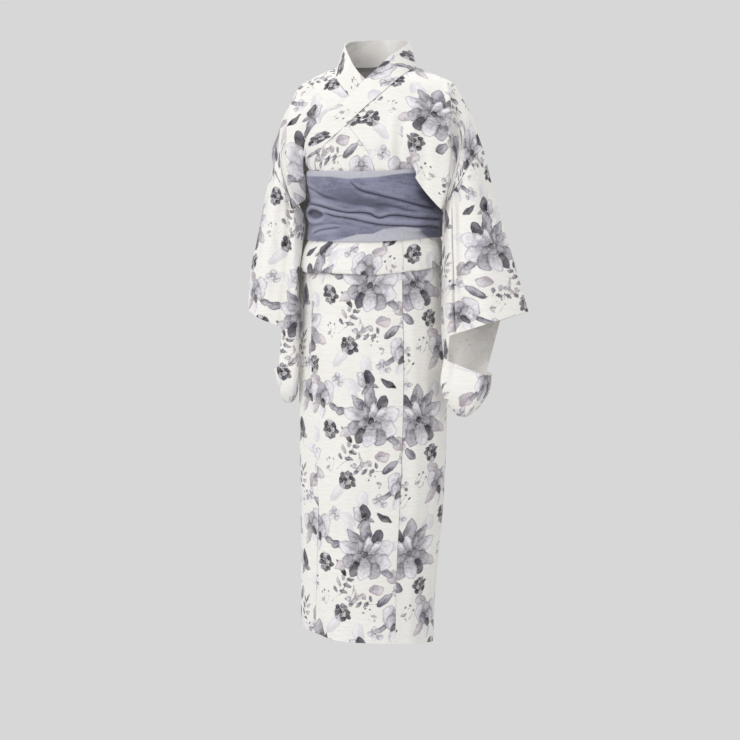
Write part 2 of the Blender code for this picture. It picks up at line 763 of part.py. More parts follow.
def overlap_panel(side):
    """An overlap panel from its point on the collar seam down to the tuck."""
    share = np.linspace(0, 1, OVERLAP_COLUMNS)[None, :]
    above, under = row_heights(), np.array(UNDER_SASH, float)
    heights = np.concatenate([above, under])[:, None]
    on_seam = curve(OVERLAP_STATIONS, SEAM)[:, :1]
    from_angle = np.concatenate([on_seam, by_height(under, [(row[2], row[1]) for row in SEAM[1:]])])
    angle = from_angle * (1 - share) + by_height(heights[:, 0], OVERLAP_SEAM) * share
    chest = on_body(angle[: len(above)], heights[: len(above)])
    lap = 0.0
    if side == "left":
        lap = LEFT_LAP
        chest = raised(chest, LEFT_LAP)
    chest[:, 0, 0] += SEAM_GAP
    chest[:, -1, 0] -= SEAM_GAP / 2
    band = on_body(angle[len(above) :] * SIGNS[side], heights[len(above) :], lap)
    bottom_angle = SEAM[-1][1] * (1 - share[0]) + OVERLAP_SEAM[-1][1] * share[0]
    band = np.concatenate([band, tuck_points(bottom_angle, side, front=True)])
    band[:, 0, 0] += SIGNS[side] * SEAM_GAP
    band[:, -1, 0] -= SIGNS[side] * SEAM_GAP / 2
    wall("overlap_panel_" + side, np.concatenate([mirrored(chest, side), band]), CLOTH, INSIDE_CHEST)


def collar_half(side):
    """Rows of one half of the collar, from the nape to its lower end in the tuck."""
    shares = np.array([SEAM_GAP / 100, 1 / 3, 2 / 3, 1])
    stations = sorted(set(NAPE_STATIONS) | set(BODY_STATIONS) | set(OVERLAP_STATIONS))
    upper = np.stack([collar_points(stations, share) for share in shares], axis=1)
    upper[0, :, 0] = 0
    if side == "left":
        upper = raised(upper, station_lift(stations)[:, None])
    heights = np.array(UNDER_SASH, float)
    seam_angle = by_height(heights, [(row[2], row[1]) for row in SEAM[1:]])
    edge_angle = by_height(heights, [(row[2], row[1]) for row in COLLAR_EDGE_ON_CHEST])
    lap = LEFT_LAP if side == "left" else 0.0
    angle = seam_angle * (1 - shares) + edge_angle * shares
    under = on_body(SIGNS[side] * angle, heights[:, None], lap)
    bottom = SEAM[-1][1] * (1 - shares) + COLLAR_EDGE_ON_CHEST[-1][1] * shares
    tuck = tuck_points(bottom, side, front=True)[:-1]
    return np.concatenate([mirrored(upper, side), under, tuck])


def collar():
    """The collar: one band from the left lower end round the neck to the right lower end."""
    grid = np.concatenate([collar_half("left")[::-1], collar_half("right")[1:]])
    wall("collar", grid, COLLAR_CLOTH, INSIDE_NECK)


def skirt_panel(name, side, from_angle, to_angle, columns):
    """A skirt panel between two angles, each one value or one for each row."""
    heights = np.array(SKIRT_HEIGHTS, float)
    share = np.linspace(0, 1, columns)[None, :]
    start = np.broadcast_to(np.asarray(from_angle, float), heights.shape)[:, None]
    end = np.broadcast_to(np.asarray(to_angle, float), heights.shape)[:, None]
    half_gap = math.degrees(SEAM_GAP / 2 / SKIRT_RADIUS)
    towards = np.sign(end - start)
    angle = (start + towards * half_gap) * (1 - share) + (end - towards * half_gap) * share
    height = np.repeat(heights[:, None], columns, axis=1)
    height[-1] = straight(angle[-1], HEM)[:, 0]
    under = skirt_lap(angle)
    lap = under if side == "left" else np.zeros(angle.shape)
    share = (TUCK_TOP - SKIRT_TOP) / (TUCK_TOP - tuck_bottom(angle[0]))
    flare = straight(share, [row[:2] for row in TUCK])[..., 0] - CLOTH - TUCK_GAP
    lap[0] += flare if side == "left" else flare * (1 - under[0] / SKIRT_LAP)
    wall(name, on_body(angle, height, lap), CLOTH, INSIDE_SKIRT)


def skirt():
    """The skirt: back and front of each body panel and both overlap panels, the left layer outside."""
    seam_angle, edge_angle = by_height(SKIRT_HEIGHTS, SKIRT_OVERLAP).T
    for side, sign in SIGNS.items():
        skirt_panel("skirt_back_" + side, side, sign * 180, sign * SIDE_SEAM, 9)
        skirt_panel("skirt_front_" + side, side, sign * SIDE_SEAM, sign * seam_angle, 11)
        skirt_panel("skirt_overlap_" + side, side, sign * seam_angle, sign * edge_angle, 11)


def section_points(section, spread):
    """The points of one sleeve section, from the front open edge round the outside to the back one."""
    z_in, z_out, x_in, x_fold, x_out, middle, front, valley, back = section
    valley_x, front_x, back_x = x_fold + np.array(spread) * (x_out - x_fold)
    edge_front, curve_front, curve_back, edge_back = SECTION_DEPTHS
    plan = (
        (x_in, -edge_front * front),
        (x_fold, -front),
        (valley_x, -valley),
        (front_x, -curve_front * front),
        (x_out, 0),
        (back_x, curve_back * back),
        (x_fold, back),
        (x_in, edge_back * back),
    )
    x, y = np.array(plan).T
    return points(x, middle + y, z_in + (z_out - z_in) * (x - x_in) / (x_out - x_in))


def clear_of_body(grid, side):
    """Points of a sleeve moved outwards to stay clear of the skirt, the tuck and the sash."""
    x, y, z = np.moveaxis(grid, -1, 0)
    half, front, back, centre = np.moveaxis(straight(z, CLOSE_FORM), -1, 0)
    clear = straight(-z, [(-row[0], row[1]) for row in SLEEVE_CLEARANCE])[..., 0]
    depth = np.where(y < 0, front, back) + clear
    reach = SIGNS[side] * centre + (half + clear) * np.sqrt(np.clip(1 - (y / depth) ** 2, 0, 1))
    return points(np.where(z < CLEAR_BELOW, np.maximum(x, reach), x), y, z)


def sleeve_shares():
    """Shares round the sleeve: one for each row of the body panel at the armhole, front and back."""
    front = 0.5 * np.linspace(0, 1, len(BODY_STATIONS) + len(OVERLAP_STATIONS))
    back = 0.5 + 0.5 * np.linspace(0, 1, len(NAPE_STATIONS) + len(SPINE_HEIGHTS))
    return np.concatenate([front, back[1:]])


def sleeve(side, sections, pouch):
    """A sleeve: from the armhole seam down to the cuff, and its pouch below the mouth."""
    shares = sleeve_shares()
    net = [curve(shares, ARMHOLE)]
    for section in sections + pouch:
        spread = SLEEVE_SPREAD if section in sections else POUCH_SPREAD
        table = np.concatenate([np.array(SECTION_SHARES)[:, None], section_points(section, spread)], axis=1)
        net.append(curve(shares, table))
    net = np.array(net)
    gap = ARMHOLE_GAP[0] + (ARMHOLE_GAP[1] - ARMHOLE_GAP[0]) * (2 * shares[:, None] - 1) ** 2
    net[0] += (net[1] - net[0]) / np.linalg.norm(net[1] - net[0], axis=-1, keepdims=True) * gap
    cuff = len(sections)
    table = np.concatenate([np.arange(len(net))[:, None], net.reshape(len(net), -1)], axis=1)
    upper = curve(np.linspace(0, cuff, 2 * cuff + 1), table[: cuff + 1])
    lower = curve(np.linspace(cuff + 1, len(net) - 1, 2 * len(pouch) - 1), table[cuff + 1 :])
    grid = np.concatenate([upper, lower]).reshape(-1, len(shares), 3)
    present = np.ones((len(grid) - 1, len(shares) - 1), bool)
    mouth_start, mouth_end = MOUTH[side]
    open_columns = (shares[:-1] > mouth_start - SHARE_MARGIN) & (shares[1:] < mouth_end + SHARE_MARGIN)
    present[len(upper) - 1, open_columns] = False
    grid = clear_of_body(grid, side)
    wall("sleeve_" + side, mirrored(grid, side), CLOTH, mirrored(INSIDE_SLEEVE, side), present)


def sash_lift(angle, height):
    """How far the sash's folds and flared edges stand off its flat form."""
    lift = straight(-height, [(-row[0], row[1]) for row in SASH_FLARE])[..., 0]
    from_knot = np.abs((angle % 360) - 180)
    lift = lift * smoothstep((from_knot - KNOT_FLAT[0]) / KNOT_FLAT[1])
    for start, end, start_height, end_height, depth, width in SASH_FOLDS:
        along = ((angle - start) % 360) / (end - start)
        fade = smoothstep(along * 6) * smoothstep((1 - along) * 6) * (along < 1)
        above = height - (start_height + (end_height - start_height) * along)
        ridge = np.exp(-(((above - width) / width) ** 2)) + 0.5 * np.exp(-(((above + width) / width) ** 2))
        lift = np.maximum(lift, depth * ridge * fade)
    return lift


def sash():
    """The wound stretch of the sash."""
    angle = np.arange(0, 360, 360 / SASH_COLUMNS)[None, :]
    rise_over, fall_over = SASH_SLOPE_ANGLES
    rise = SASH_SLOPE * smoothstep(angle / rise_over) * smoothstep((180 - angle) / fall_over)
    height = np.array(SASH_HEIGHTS, float)[:, None] + rise
    height = np.broadcast_to(height, (len(SASH_HEIGHTS), SASH_COLUMNS))
    grid = on_body(angle, height, SASH_STAND_OFF + sash_lift(angle, height))
    wall("sash_wrap", grid, SASH_CLOTH, INSIDE_SASH, ring=True, colour=SASH_COLOUR)


def knot_middle():
    """The depth of the knot's centre, just behind the sash."""
    back_of_sash = on_body(180.0, KNOT_HEIGHT)[1] + SASH_STAND_OFF + SASH_CLOTH
    return back_of_sash + SEAM_GAP + KNOT_SIZE[1] / 2


def knot():
    """The knot of the bow: a small rounded block of folded cloth."""
    bpy.ops.mesh.primitive_cube_add(size=1)
    obj = bpy.context.object
    obj.name = "sash_knot"
    obj.data.name = "sash_knot"
    corners = np.array([vertex.co[:] for vertex in obj.data.vertices]) * KNOT_SIZE
    corners += (on_body(180.0, KNOT_HEIGHT)[0], knot_middle(), KNOT_HEIGHT)
    for vertex, corner in zip(obj.data.vertices, corners * MM):
        vertex.co = corner
    obj.data.materials.append(cloth_material("sash_knot_cloth", SASH_COLOUR))
    bevel = obj.modifiers.new("round", "BEVEL")
    bevel.width = KNOT_ROUNDING * MM
    bevel.segments = 3


def bow_loop(side):
    """One loop of the bow: a flat ring of cloth, narrow at the knot and wide at its end."""
    turn = np.radians(np.arange(0, 360, 360 / LOOP_COLUMNS))[None, :]
    out = (1 + np.cos(turn)) / 2
    start = KNOT_SIZE[0] / 2 + SEAM_GAP + SASH_CLOTH
    x = start + LOOP_LENGTH * out
    y = knot_middle() + LOOP_DEPTH / 2 * np.sin(turn) - LOOP_BEND * out**2
    width = LOOP_WIDTHS[0] + (LOOP_WIDTHS[1] - LOOP_WIDTHS[0]) * smoothstep(out)
    across = np.linspace(0.5, -0.5, 6)[:, None]
    grid = points(x, y, KNOT_HEIGHT - LOOP_DROP * out + width * across)
    grid[..., 0] = on_body(180.0, KNOT_HEIGHT)[0] + SIGNS[side] * grid[..., 0]
    centre = (SIGNS[side] * (start + LOOP_LENGTH / 2), knot_middle(), KNOT_HEIGHT)
    wall("sash_loop_" + side, grid, SASH_CLOTH, centre, ring=True, colour=SASH_COLOUR)


def bow_tail(side):
    """One hanging end of the sash, from under the knot, with soft lengthwise waves."""
    down = np.linspace(0, 1, 14)[:, None]
    across = np.linspace(-0.5, 0.5, 7)[None, :]
    width = TAIL_WIDTHS[0] + (TAIL_WIDTHS[1] - TAIL_WIDTHS[0]) * smoothstep(down * TAIL_WIDENING)
    x = width * (0.5 + across) + TAIL_START + TAIL_SPREAD * down
    wave = TAIL_WAVE * np.cos(across * 2 * math.pi * TAIL_WAVES) * smoothstep(down * 3)
    y = knot_middle() - TAIL_LEAN * smoothstep(down * 3) + wave
    top = KNOT_HEIGHT - KNOT_SIZE[2] / 2 - SEAM_GAP
    grid = points(x, y, top - TAIL_LENGTHS[side] * down - TAIL_SLANT * across * down)
    grid[..., 0] = on_body(180.0, KNOT_HEIGHT)[0] + SIGNS[side] * grid[..., 0]
    wall("sash_tail_" + side, grid, CLOTH, BEFORE_TAILS, colour=SASH_COLOUR)


for old in list(bpy.data.objects):
    bpy.data.objects.remove(old, do_unlink=True)

for side_name in SIGNS:
    body_panel(side_name)
    overlap_panel(side_name)
sleeve("left", LEFT_SLEEVE, LEFT_POUCH)
sleeve("right", RIGHT_SLEEVE, RIGHT_POUCH)
collar()
skirt()
sash()
knot()
for side_name in SIGNS:
    bow_loop(side_name)
    bow_tail(side_name)
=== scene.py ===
"""Summer cotton yukata in its worn shape, with its soft wound sash, as thin shells on the solids' form.

The cloth follows the same sections, seams and edges as the solids, on a finer net: each piece is a net of
points [row, column] with cubic curves between its rows and columns, raised by its folds, and closed into a
shell. The printed flowers are worked out as distances to petals, leaves and stems in cloth millimetres.
All lengths in this file are millimetres until a mesh is made, except where a name says metres.
"""

import json
import math

import bpy
import numpy as np
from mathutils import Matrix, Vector

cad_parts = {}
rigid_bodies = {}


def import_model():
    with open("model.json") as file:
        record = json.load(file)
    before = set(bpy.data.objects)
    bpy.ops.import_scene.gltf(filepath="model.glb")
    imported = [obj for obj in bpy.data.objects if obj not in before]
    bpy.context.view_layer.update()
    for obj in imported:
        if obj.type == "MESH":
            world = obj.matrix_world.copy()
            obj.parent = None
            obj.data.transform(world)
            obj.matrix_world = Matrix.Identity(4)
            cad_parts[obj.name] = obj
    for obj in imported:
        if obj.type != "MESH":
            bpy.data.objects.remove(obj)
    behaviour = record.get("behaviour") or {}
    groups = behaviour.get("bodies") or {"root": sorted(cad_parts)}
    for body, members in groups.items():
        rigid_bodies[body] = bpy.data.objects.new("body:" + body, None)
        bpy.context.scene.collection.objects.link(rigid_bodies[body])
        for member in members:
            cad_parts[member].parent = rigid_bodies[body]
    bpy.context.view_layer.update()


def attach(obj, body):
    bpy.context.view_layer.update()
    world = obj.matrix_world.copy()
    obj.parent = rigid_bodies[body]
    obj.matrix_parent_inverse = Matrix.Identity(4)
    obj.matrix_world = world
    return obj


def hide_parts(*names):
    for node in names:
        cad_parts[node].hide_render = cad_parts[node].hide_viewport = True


MM = 0.001
SIGNS = {"left": 1.0, "right": -1.0}

# Thickness of the cloths, and the gaps and laps of the seams
CLOTH = 1.2
SASH_CLOTH = 2.2
SEAM_GAP = 0.6
ARMHOLE_GAP = (0.5, 4.8)
LEFT_LAP = 4.4
SKIRT_LAP = 2.4
SASH_STAND_OFF = 7.6
# Half the width, the depth and the height of the collar's seam round the nape
NAPE = (80.0, 64.0, 5.0)
# Mean radius of the skirt, to turn its seam gaps into angles
SKIRT_RADIUS = 110.0
# Where the collar begins to lie on the chest, and the stations over which it settles and the left front rises
LYING_FROM = 4
LYING_OVER = 2
RAISED_OVER = 2.6
# Directions of the left front's lift: more forward than outward, and upward above this depth below the origin
LIFT_FORWARD = 1.6
LIFT_UP_FROM = 150.0
# Angles over which the laps fade: of the skirt next to its free edge, and of both towards the side seam
SKIRT_LAP_START = (-70, 18)
SKIRT_LAP_END = 60
LEFT_LAP_END = 92

# Heights of the sash, the tuck and the skirt, and how far the tuck's cloth clears the skirt
SASH_TOP = -210.0
SASH_BOTTOM = -353.0
TUCK_TOP = -345.0
TUCK_BOTTOM = -417.0
TUCK_BOTTOM_BEHIND = -404.0
SKIRT_TOP = -374.0
TUCK_GAP = 1.15
# Angles from which the tuck's lower edge rises towards the back, and over how many, on the left and right
TUCK_RISE_LEFT = (15, 60)
TUCK_RISE_RIGHT = (62, 56)

# Angles round the body: 0 at the centre front, 180 at the centre back, rising towards the left side
SIDE_SEAM = 118.0

# Shares across a body panel, from its inner edge to its outer fold, and the last of them that goes under
# the sash: the cloth beyond it hangs over the sash or beside it
PANEL_SHARES = (0, 0.14, 0.28, 0.42, 0.55, 0.625, 0.72, 0.81, 0.9, 1)
LAST_TUCKED = {("left", False): 4, ("left", True): 4, ("right", False): 7, ("right", True): 4}
# The height below which the cloth beyond those hangs free, and how its edge sags: 1 is straight
HANG_TOP = {("left", False): -197, ("left", True): -195, ("right", False): -164, ("right", True): -195}
HANG_SAG = 0.7
# The free edge of the right front, turned in beside the sash: its depth, its clearance from the form, and how
# far down the outer fold it reaches
TURNED_IN_DEPTH = -45.0
TURNED_IN_CLEARANCE = 19.0
TURNED_IN_REACH = 0.88
# The share of the bend into the free edge from which it turns in
TURNED_IN_FROM = 0.6
# Where the cloth above the sash begins to hang loose, and over which width
LOOSE_FROM = {("left", False): 84, ("left", True): 84, ("right", False): 136, ("right", True): 84}
LOOSE_WIDTH = 38.0
# Angles of the last tucked share in the tuck, on the left and on the right front, and how much nearer to the
# centre those behind are
TUCKED_ANGLE = 62.0
TUCKED_ANGLE_RIGHT = 78.0
TUCKED_BEHIND = 0.9
# How much of the way from there to the side seam the outer fold has in the tuck
FOLD_SHARE = 0.76
FOLD_SHARE_RIGHT = 0.5

# Horizontal sections that the cloth lies on: ellipses
CLOSE_FORM = (
    # height, half_width, front, back, centre_x
    (5, 80, 46, 64, 0),
    (-2, 98, 54, 69, 0),
    (-8, 113, 60, 74, 0),
    (-25, 148, 75, 82, 0),
    (-42, 174, 83, 88, 0),
    (-70, 203, 93, 95, 0),
    (-105, 216, 102, 100, 0),
    (-143, 200, 106, 103, 0),
    (-173, 172, 105, 104, 0),
    (-195, 149, 104, 104, 0),
    (-213, 136, 103, 104, 0),
    (-250, 132, 102, 103, -1),
    (-330, 132, 103, 103, -3),
    (-354, 134, 105, 104, -4),
    (-400, 140, 108, 105, -8),
    (-437, 147, 111, 108, -9),
    (-600, 155, 117, 113, -9),
    (-750, 155, 117, 113, -9),
    (-930, 150, 113, 110, -12),
    (-1050, 143, 107, 106, -19),
    (-1127, 141, 105, 104, -21),
    (-1200, 140, 105, 104, -22),
)
# The same towards the sides, where the cloth hangs straight from the shoulders
LOOSE_FORM = (
    # height, half_width, front, back, centre_x
    (5, 80, 46, 64, 0),
    (-8, 113, 60, 74, 0),
    (-25, 148, 75, 82, 0),
    (-42, 174, 83, 88, 0),
    (-70, 205, 93, 95, 0),
    (-105, 226, 103, 101, 0),
    (-150, 230, 107, 105, 0),
    (-300, 230, 107, 105, 0),
)

# The seam between collar and panels: stations from the neck side (2) to the lower end (12)
SEAM = (
    # station, angle, height
    (2, 90, 5),
    (2.25, 66, 2),
    (2.5, 53, -2),
    (3, 35.8, -13),
    (4, 22.8, -28),
    (5, 8.5, -60),
    (6, 0.9, -83),
    (7, -8.4, -116),
    (8, -18.4, -143),
    (9, -33.5, -173),
    (10, -51, -213),
    (11, -57, -300),
    (12, -62, TUCK_BOTTOM),
)
# The free edge of the collar where it stands round the neck
COLLAR_EDGE_AT_NECK = (
    # station, x, y, z
    (0, 0, 70, 60),
    (1, 48, 43, 57),
    (2, 67, 0, 50),
    (3, 44, -50, 24),
    (4, 24, -69, -2),
)
# The free edge of the collar where it lies on the chest
COLLAR_EDGE_ON_CHEST = (
    # station, angle, height
    (5, 0.3, -25),
    (6, -9.5, -60),
    (7, -19.7, -90),
    (8, -33.2, -130),
    (9, -52, -178),
    (10, -77, -213),
    (11, -83, -300),
    (12, -86, TUCK_BOTTOM),
)
# Rows of the panels: stations of the collar seam, from the nape (0) and the neck side (2) down
NAPE_STATIONS = (2, 1.6, 1.1, 0.5, 0)
BODY_STATIONS = (2, 2.25, 2.6, 3, 3.6, 4.3, 5, 6, 7)
OVERLAP_STATIONS = (7.15, 8, 8.7, 9.5, 10)
SPINE_HEIGHTS = (-30, -70, -110, -152, -192, -213)
# Columns of the overlap panels, and the rows of their points on the chest
OVERLAP_COLUMNS = 9
OVERLAP_ROWS = 7

# The seam between the body panel and the overlap panel above the tuck
OVERLAP_SEAM = (
    # height, angle
    (-116, -8.2),
    (-160, 2),
    (-213, 12),
    (-290, 26),
    (-345, 36),
    (TUCK_BOTTOM, 37),
)
# The same seam and the free edge of the overlap panel on the skirt
SKIRT_OVERLAP = (
    # height, seam_angle, edge_angle
    (-374, 37, -46),
    (-600, 37, -42),
    (-928, 35.5, -33.5),
    (-1100, 37, -31),
    (-1190, 38, -21),
)
SKIRT_BACK_COLUMNS = 9
SKIRT_FRONT_COLUMNS = 11
SKIRT_HEIGHTS = (SKIRT_TOP, -387, -405, -437, -500, -600, -750, -900, -1020, -1110, -1180)
HEM = (
    # angle, height
    (-180, -1176),
    (-110, -1166),
    (-76, -1160),
    (-50, -1166),
    (-33, -1170),
    (-21, -1177),
    (0, -1180),
    (30, -1181),
    (60, -1185),
    (100, -1189),
    (180, -1176),
)

# The outer fold of a panel, where it turns back towards the armhole: shares run from the shoulder down
FRONT_FOLD = (
    # share, x, height
    (0, 152, -26),
    (0.12, 157, -36),
    (0.25, 165, -54),
    (0.4, 171, -90),
    (0.55, 173, -130),
    (0.7, 173, -178),
    (0.85, 168, -230),
    (1, 156, -285),
)
BACK_FOLD = (
    # share, x, height
    (0, 152, -26),
    (0.15, 156, -36),
    (0.3, 161, -60),
    (0.5, 165, -105),
    (0.7, 165, -165),
    (0.85, 160, -215),
    (1, 150, -265),
)
# Lines of the panel between that fold and the armhole seam
FRONT_WING = (
    # share, valley x, y, z, ridge x, y, z
    (0, 167, 0, -38, 196, 0, -88),
    (0.25, 164, -22, -66, 195, -32, -108),
    (0.55, 160, -36, -128, 191, -52, -160),
    (0.8, 168, -64, -216, 172, -60, -236),
    (0.93, 160, -68, -260, 160, -56, -270),
    (1, 155, -65, -283, 153, -50, -281),
)
BACK_WING = (
    # share, valley x, y, z, ridge x, y, z
    (0, 167, 0, -38, 196, 0, -88),
    (0.25, 170, 30, -62, 196, 30, -108),
    (0.55, 170, 54, -122, 190, 52, -160),
    (0.8, 164, 64, -205, 172, 58, -228),
    (0.93, 156, 66, -244, 159, 54, -262),
    (1, 150, 64, -270, 151, 50, -278),
)
# How much the cloth next to the armhole seam swells to the front and the back, and the columns from the outer
# fold to that seam
WING_SWELL = 1.06
WING_COLUMNS = 4
# The armhole seam: from its lower front end over the top of the sleeve to its lower back end
ARMHOLE = (
    # share, x, y, z
    (0, 151, -30, -296),
    (0.17, 170, -55, -264),
    (0.33, 197, -56, -222),
    (0.43, 217, -34, -182),
    (0.5, 225, 0, -162),
    (0.57, 217, 34, -182),
    (0.67, 197, 54, -222),
    (0.83, 170, 52, -262),
    (1, 150, 33, -290),
)

# Sections of the sleeves below the armhole, with x measured outwards on either side: the open edge next to
# the body (in), the crease in front (fold) and the folded outer edge (out); then depths from the middle
LEFT_SLEEVE = (
    # z_in, z_out, x_in, x_fold, x_out, y_middle, front, valley, back
    (-330, -205, 150, 175, 236, -2, 66, 52, 50),
    (-385, -268, 151, 177, 254, -5, 70, 60, 50),
    (-440, -343, 152, 180, 278, -9, 74, 68, 46),
    (-500, -418, 154, 183, 303, -17, 78, 75, 40),
    (-550, -494, 157, 187, 329, -27, 74, 72, 32),
)
LEFT_POUCH = (
    # z_in, z_out, x_in, x_fold, x_out, y_middle, front, valley, back
    (-590, -624, 163, 176, 258, -48, 34, 33, 32),
    (-638, -655, 158, 172, 255, -58, 30, 30, 28),
    (-673, -686, 167, 178, 237, -62, 22, 22, 20),
    (-699, -704, 184, 190, 217, -64, 9, 9, 8),
    (-707, -709, 191, 195, 209, -65, 1.6, 1.6, 1.6),
)
RIGHT_SLEEVE = (
    # z_in, z_out, x_in, x_fold, x_out, y_middle, front, valley, back
    (-330, -200, 147, 158, 225, -2, 66, 52, 50),
    (-385, -262, 147, 156, 240, -5, 70, 54, 50),
    (-440, -343, 150, 154, 255, -9, 72, 54, 46),
    (-500, -418, 150, 153, 269, -17, 72, 54, 40),
    (-545, -500, 150, 153, 274, -24, 70, 52, 34),
)
RIGHT_POUCH = (
    # z_in, z_out, x_in, x_fold, x_out, y_middle, front, valley, back
    (-590, -625, 150, 152, 205, -38, 48, 44, 40),
    (-632, -650, 151, 153, 196, -46, 40, 38, 34),
    (-664, -672, 155, 158, 190, -52, 28, 27, 24),
    (-684, -687, 163, 166, 184, -56, 11, 11, 9),
    (-690, -691, 168, 170, 180, -57, 1.6, 1.6, 1.6),
)
SLEEVES = {"left": (LEFT_SLEEVE, LEFT_POUCH), "right": (RIGHT_SLEEVE, RIGHT_POUCH)}
# How far the sleeves stay from the form beside the sash, the tuck and the skirt, below a height
CLEAR_BELOW = -270.0
SLEEVE_CLEARANCE = (
    # height, clearance
    (-425, 17),
    (-452, 9),
    (-480, 5),
)
# Where the points of a section lie on the way round, front edge (0) to back edge (1)
SECTION_SHARES = (0, 0.15, 0.26, 0.38, 0.5, 0.63, 0.84, 1)
# The part of that way that is open at the cuff
MOUTH = {"left": (0.15, 0.65), "right": (0.26, 0.65)}
SHARE_MARGIN = 0.01
# Depths of a section's points as shares of its own depths: front edge, front and back curve, back edge
SECTION_DEPTHS = (0.45, 0.8, 0.85, 0.5)
# Where its valley and its curves lie between the crease and the outer edge, above the cuff and in the pouch
SLEEVE_SPREAD = (0.25, 0.62, 0.62)
POUCH_SPREAD = (0.66, 0.88, 0.86)

# The tuck: how far the upper cloth stands off the form, from under the sash down to its lower edge
TUCK = (
    # share of the way down, stand_off, share of the skirt lap below it
    (0, 0.0, 0),
    (0.15, 0.6, 0.1),
    (0.34, 4.8, 1),
    (0.58, 6.9, 1),
    (0.8, 7.2, 1),
    (0.93, 6.6, 1),
    (1, 5.2, 1),
)

# How far the sash's left side rises, and over which angles from the centre front and the centre back
SASH_SLOPE = 8.0
SASH_SLOPE_ANGLES = (70, 60)
# Angles from the knot within which the sash lies flat, and over which its folds begin
KNOT_FLAT = (20, 30)
# How far the edges and turns of the sash stand off
SASH_FLARE = (
    # height, stand_off
    (-353, 2.5),
    (-320, 0.5),
    (-291, 5.0),
    (-274, 0.0),
    (-225, 6.0),
)
# Broad folds of the sash
SASH_FOLDS = (
    # start_angle, end_angle, start_height, end_height, depth, width
    (-62, 66, -272, -312, 4.2, 7.0),
    (-48, 60, -292, -326, 2.8, 6.0),
    (-20, 58, -234, -286, 2.4, 5.0),
    (-60, -8, -342, -322, 2.4, 5.0),
    (96, 170, -262, -248, 3.0, 8.0),
    (190, 264, -250, -276, 3.0, 8.0),
    (104, 174, -318, -300, 2.6, 8.0),
    (192, 260, -306, -322, 2.6, 8.0),
)

# The knot of the bow at the back: its width, depth and height, the height of its middle, how far its gathered
# cloth lies within that size, how much narrower its ends are, and how square its section is: 1 is round
KNOT_SIZE = (46.0, 24.0, 60.0)
KNOT_HEIGHT = -272.0
KNOT_GATHERS = 2.4
KNOT_TAPER = 0.16
KNOT_SQUARENESS = 0.55
# Millimetres of its cloth from the middle to one end, and the turn for one of them round it, in degrees
KNOT_HALF_CLOTH = 24.0
KNOT_TURN = 2.2
# Its loops: length, depth, widths at the knot and at the end, how far that end hangs down and bends forward,
# and the height of the gathers
LOOP_LENGTH = 126.0
LOOP_DEPTH = 15.0
LOOP_WIDTHS = (40.0, 112.0)
LOOP_DROP = 14.0
LOOP_BEND = 14.0
LOOP_GATHERS = 1.3
# Its tails: lengths, and widths at the knot and below it with how soon they widen
TAIL_LENGTHS = {"left": 330.0, "right": 300.0}
TAIL_WIDTHS = (20.0, 86.0)
TAIL_WIDENING = 1.6
# Their waves, with the height of the fine ones too
TAIL_WAVE = 3.0
TAIL_WAVES = 1.5
TAIL_FINE_WAVE = 0.7
# How far they begin beside the middle, spread outwards, lean forward, and slant at their ends
TAIL_START = 1.0
TAIL_SPREAD = 8.0
TAIL_LEAN = 3.0
TAIL_SLANT = 10.0

# Points inside the worn cloth: the outer faces of each piece look away from its own point
INSIDE_PANEL = (60, 0, -200)
INSIDE_CHEST = (0, 0, -300)
INSIDE_NECK = (0, 0, -60)
INSIDE_TUCK = (0, 0, -380)
INSIDE_SKIRT = (0, 0, -800)
INSIDE_SLEEVE = (200, -20, -420)
INSIDE_SASH = (0, 0, -280)
BEFORE_TAILS = (0, 0, -400)

# The fold under the tuck's lower edge
TUCK_LIP = (
    # drop, stand_off
    (0.5, 4.95),
    (0.7, 4.7),
    (0.5, 4.4),
    (-0.4, 4.2),
    (-8, 4.2),
)

# Colours of the cloth and its print
CLOTH_WHITE = "#f6f4f0"
CLOTH_WARM = "#f2efea"
CLOTH_THREAD = "#e6e3dd"
CLOTH_REVERSE = "#e9e6e2"
# Inks of the tones, each printed over the earlier ones: at the base of a shape, at its tip, and how strong
INKS = {
    "faint": ("#dad7dc", "#efedef", 1.0),
    "mauve": ("#a59aa3", "#ddd5da", 0.9),
    "light": ("#a5a1ab", "#efedf1", 1.0),
    "mid": ("#615d69", "#c0bcc5", 1.0),
    "dark": ("#28242d", "#6d6974", 1.0),
    "line": ("#4a4650", "#8b8792", 0.8),
}
# How far the edges of the shapes wander, and how unevenly the ink runs from base to tip
INK_RAGGED = 3.0
INK_MOTTLE = 1.5
# Depths inside a shape over which its ragged edge takes the ink, and over which its darker rim fades from a
# share of the ink; and the levels of the wash with that share of the ink where it is thin
INK_EDGE = (-0.9, 1.0)
INK_RIM = (0.4, 3.2, 0.55, 0.0)
INK_WASH = (0.25, 0.6, 0.74)
# How much less of the print shows on the reverse, and how much the reverse is of its own colour
PRINT_HIDDEN = 0.62
REVERSE_SHARE = 0.55
# Uneven fields on the cotton
COTTON_NOISES = {
    # features for each millimetre across and down, detail, roughness
    "ragged": (0.4, 0.4, 4.0, 0.6),
    "wash": (0.05, 0.05, 4.0, 0.6),
    "mottle": (0.14, 0.14, 5.0, 0.7),
    "tint": (0.006, 0.009, 2.0, 0.5),
    "weft": (0.12, 1.4, 3.0, 0.5),
    "warp": (1.6, 0.15, 2.0, 0.5),
    # Thick threads of the weft, about 4 mm apart: coarser than the real ones, so that they show in a render
    "slubs": (0.035, 0.26, 2.0, 0.5),
    "pucker": (0.22, 0.22, 1.0, 0.5),
    "hang": (0.03, 0.022, 3.0, 0.5),
}
# Threads that show: their field, its levels where they begin and are full, and how much they show then
COTTON_THREADS = (("weft", 0.3, 0.75, 0.3), ("slubs", 0.42, 0.68, 0.45))
# Heights in the relief of the thick threads and of the soft waves in which the cloth hangs
SLUB_HEIGHT = 0.4
HANG_HEIGHT = 9.0
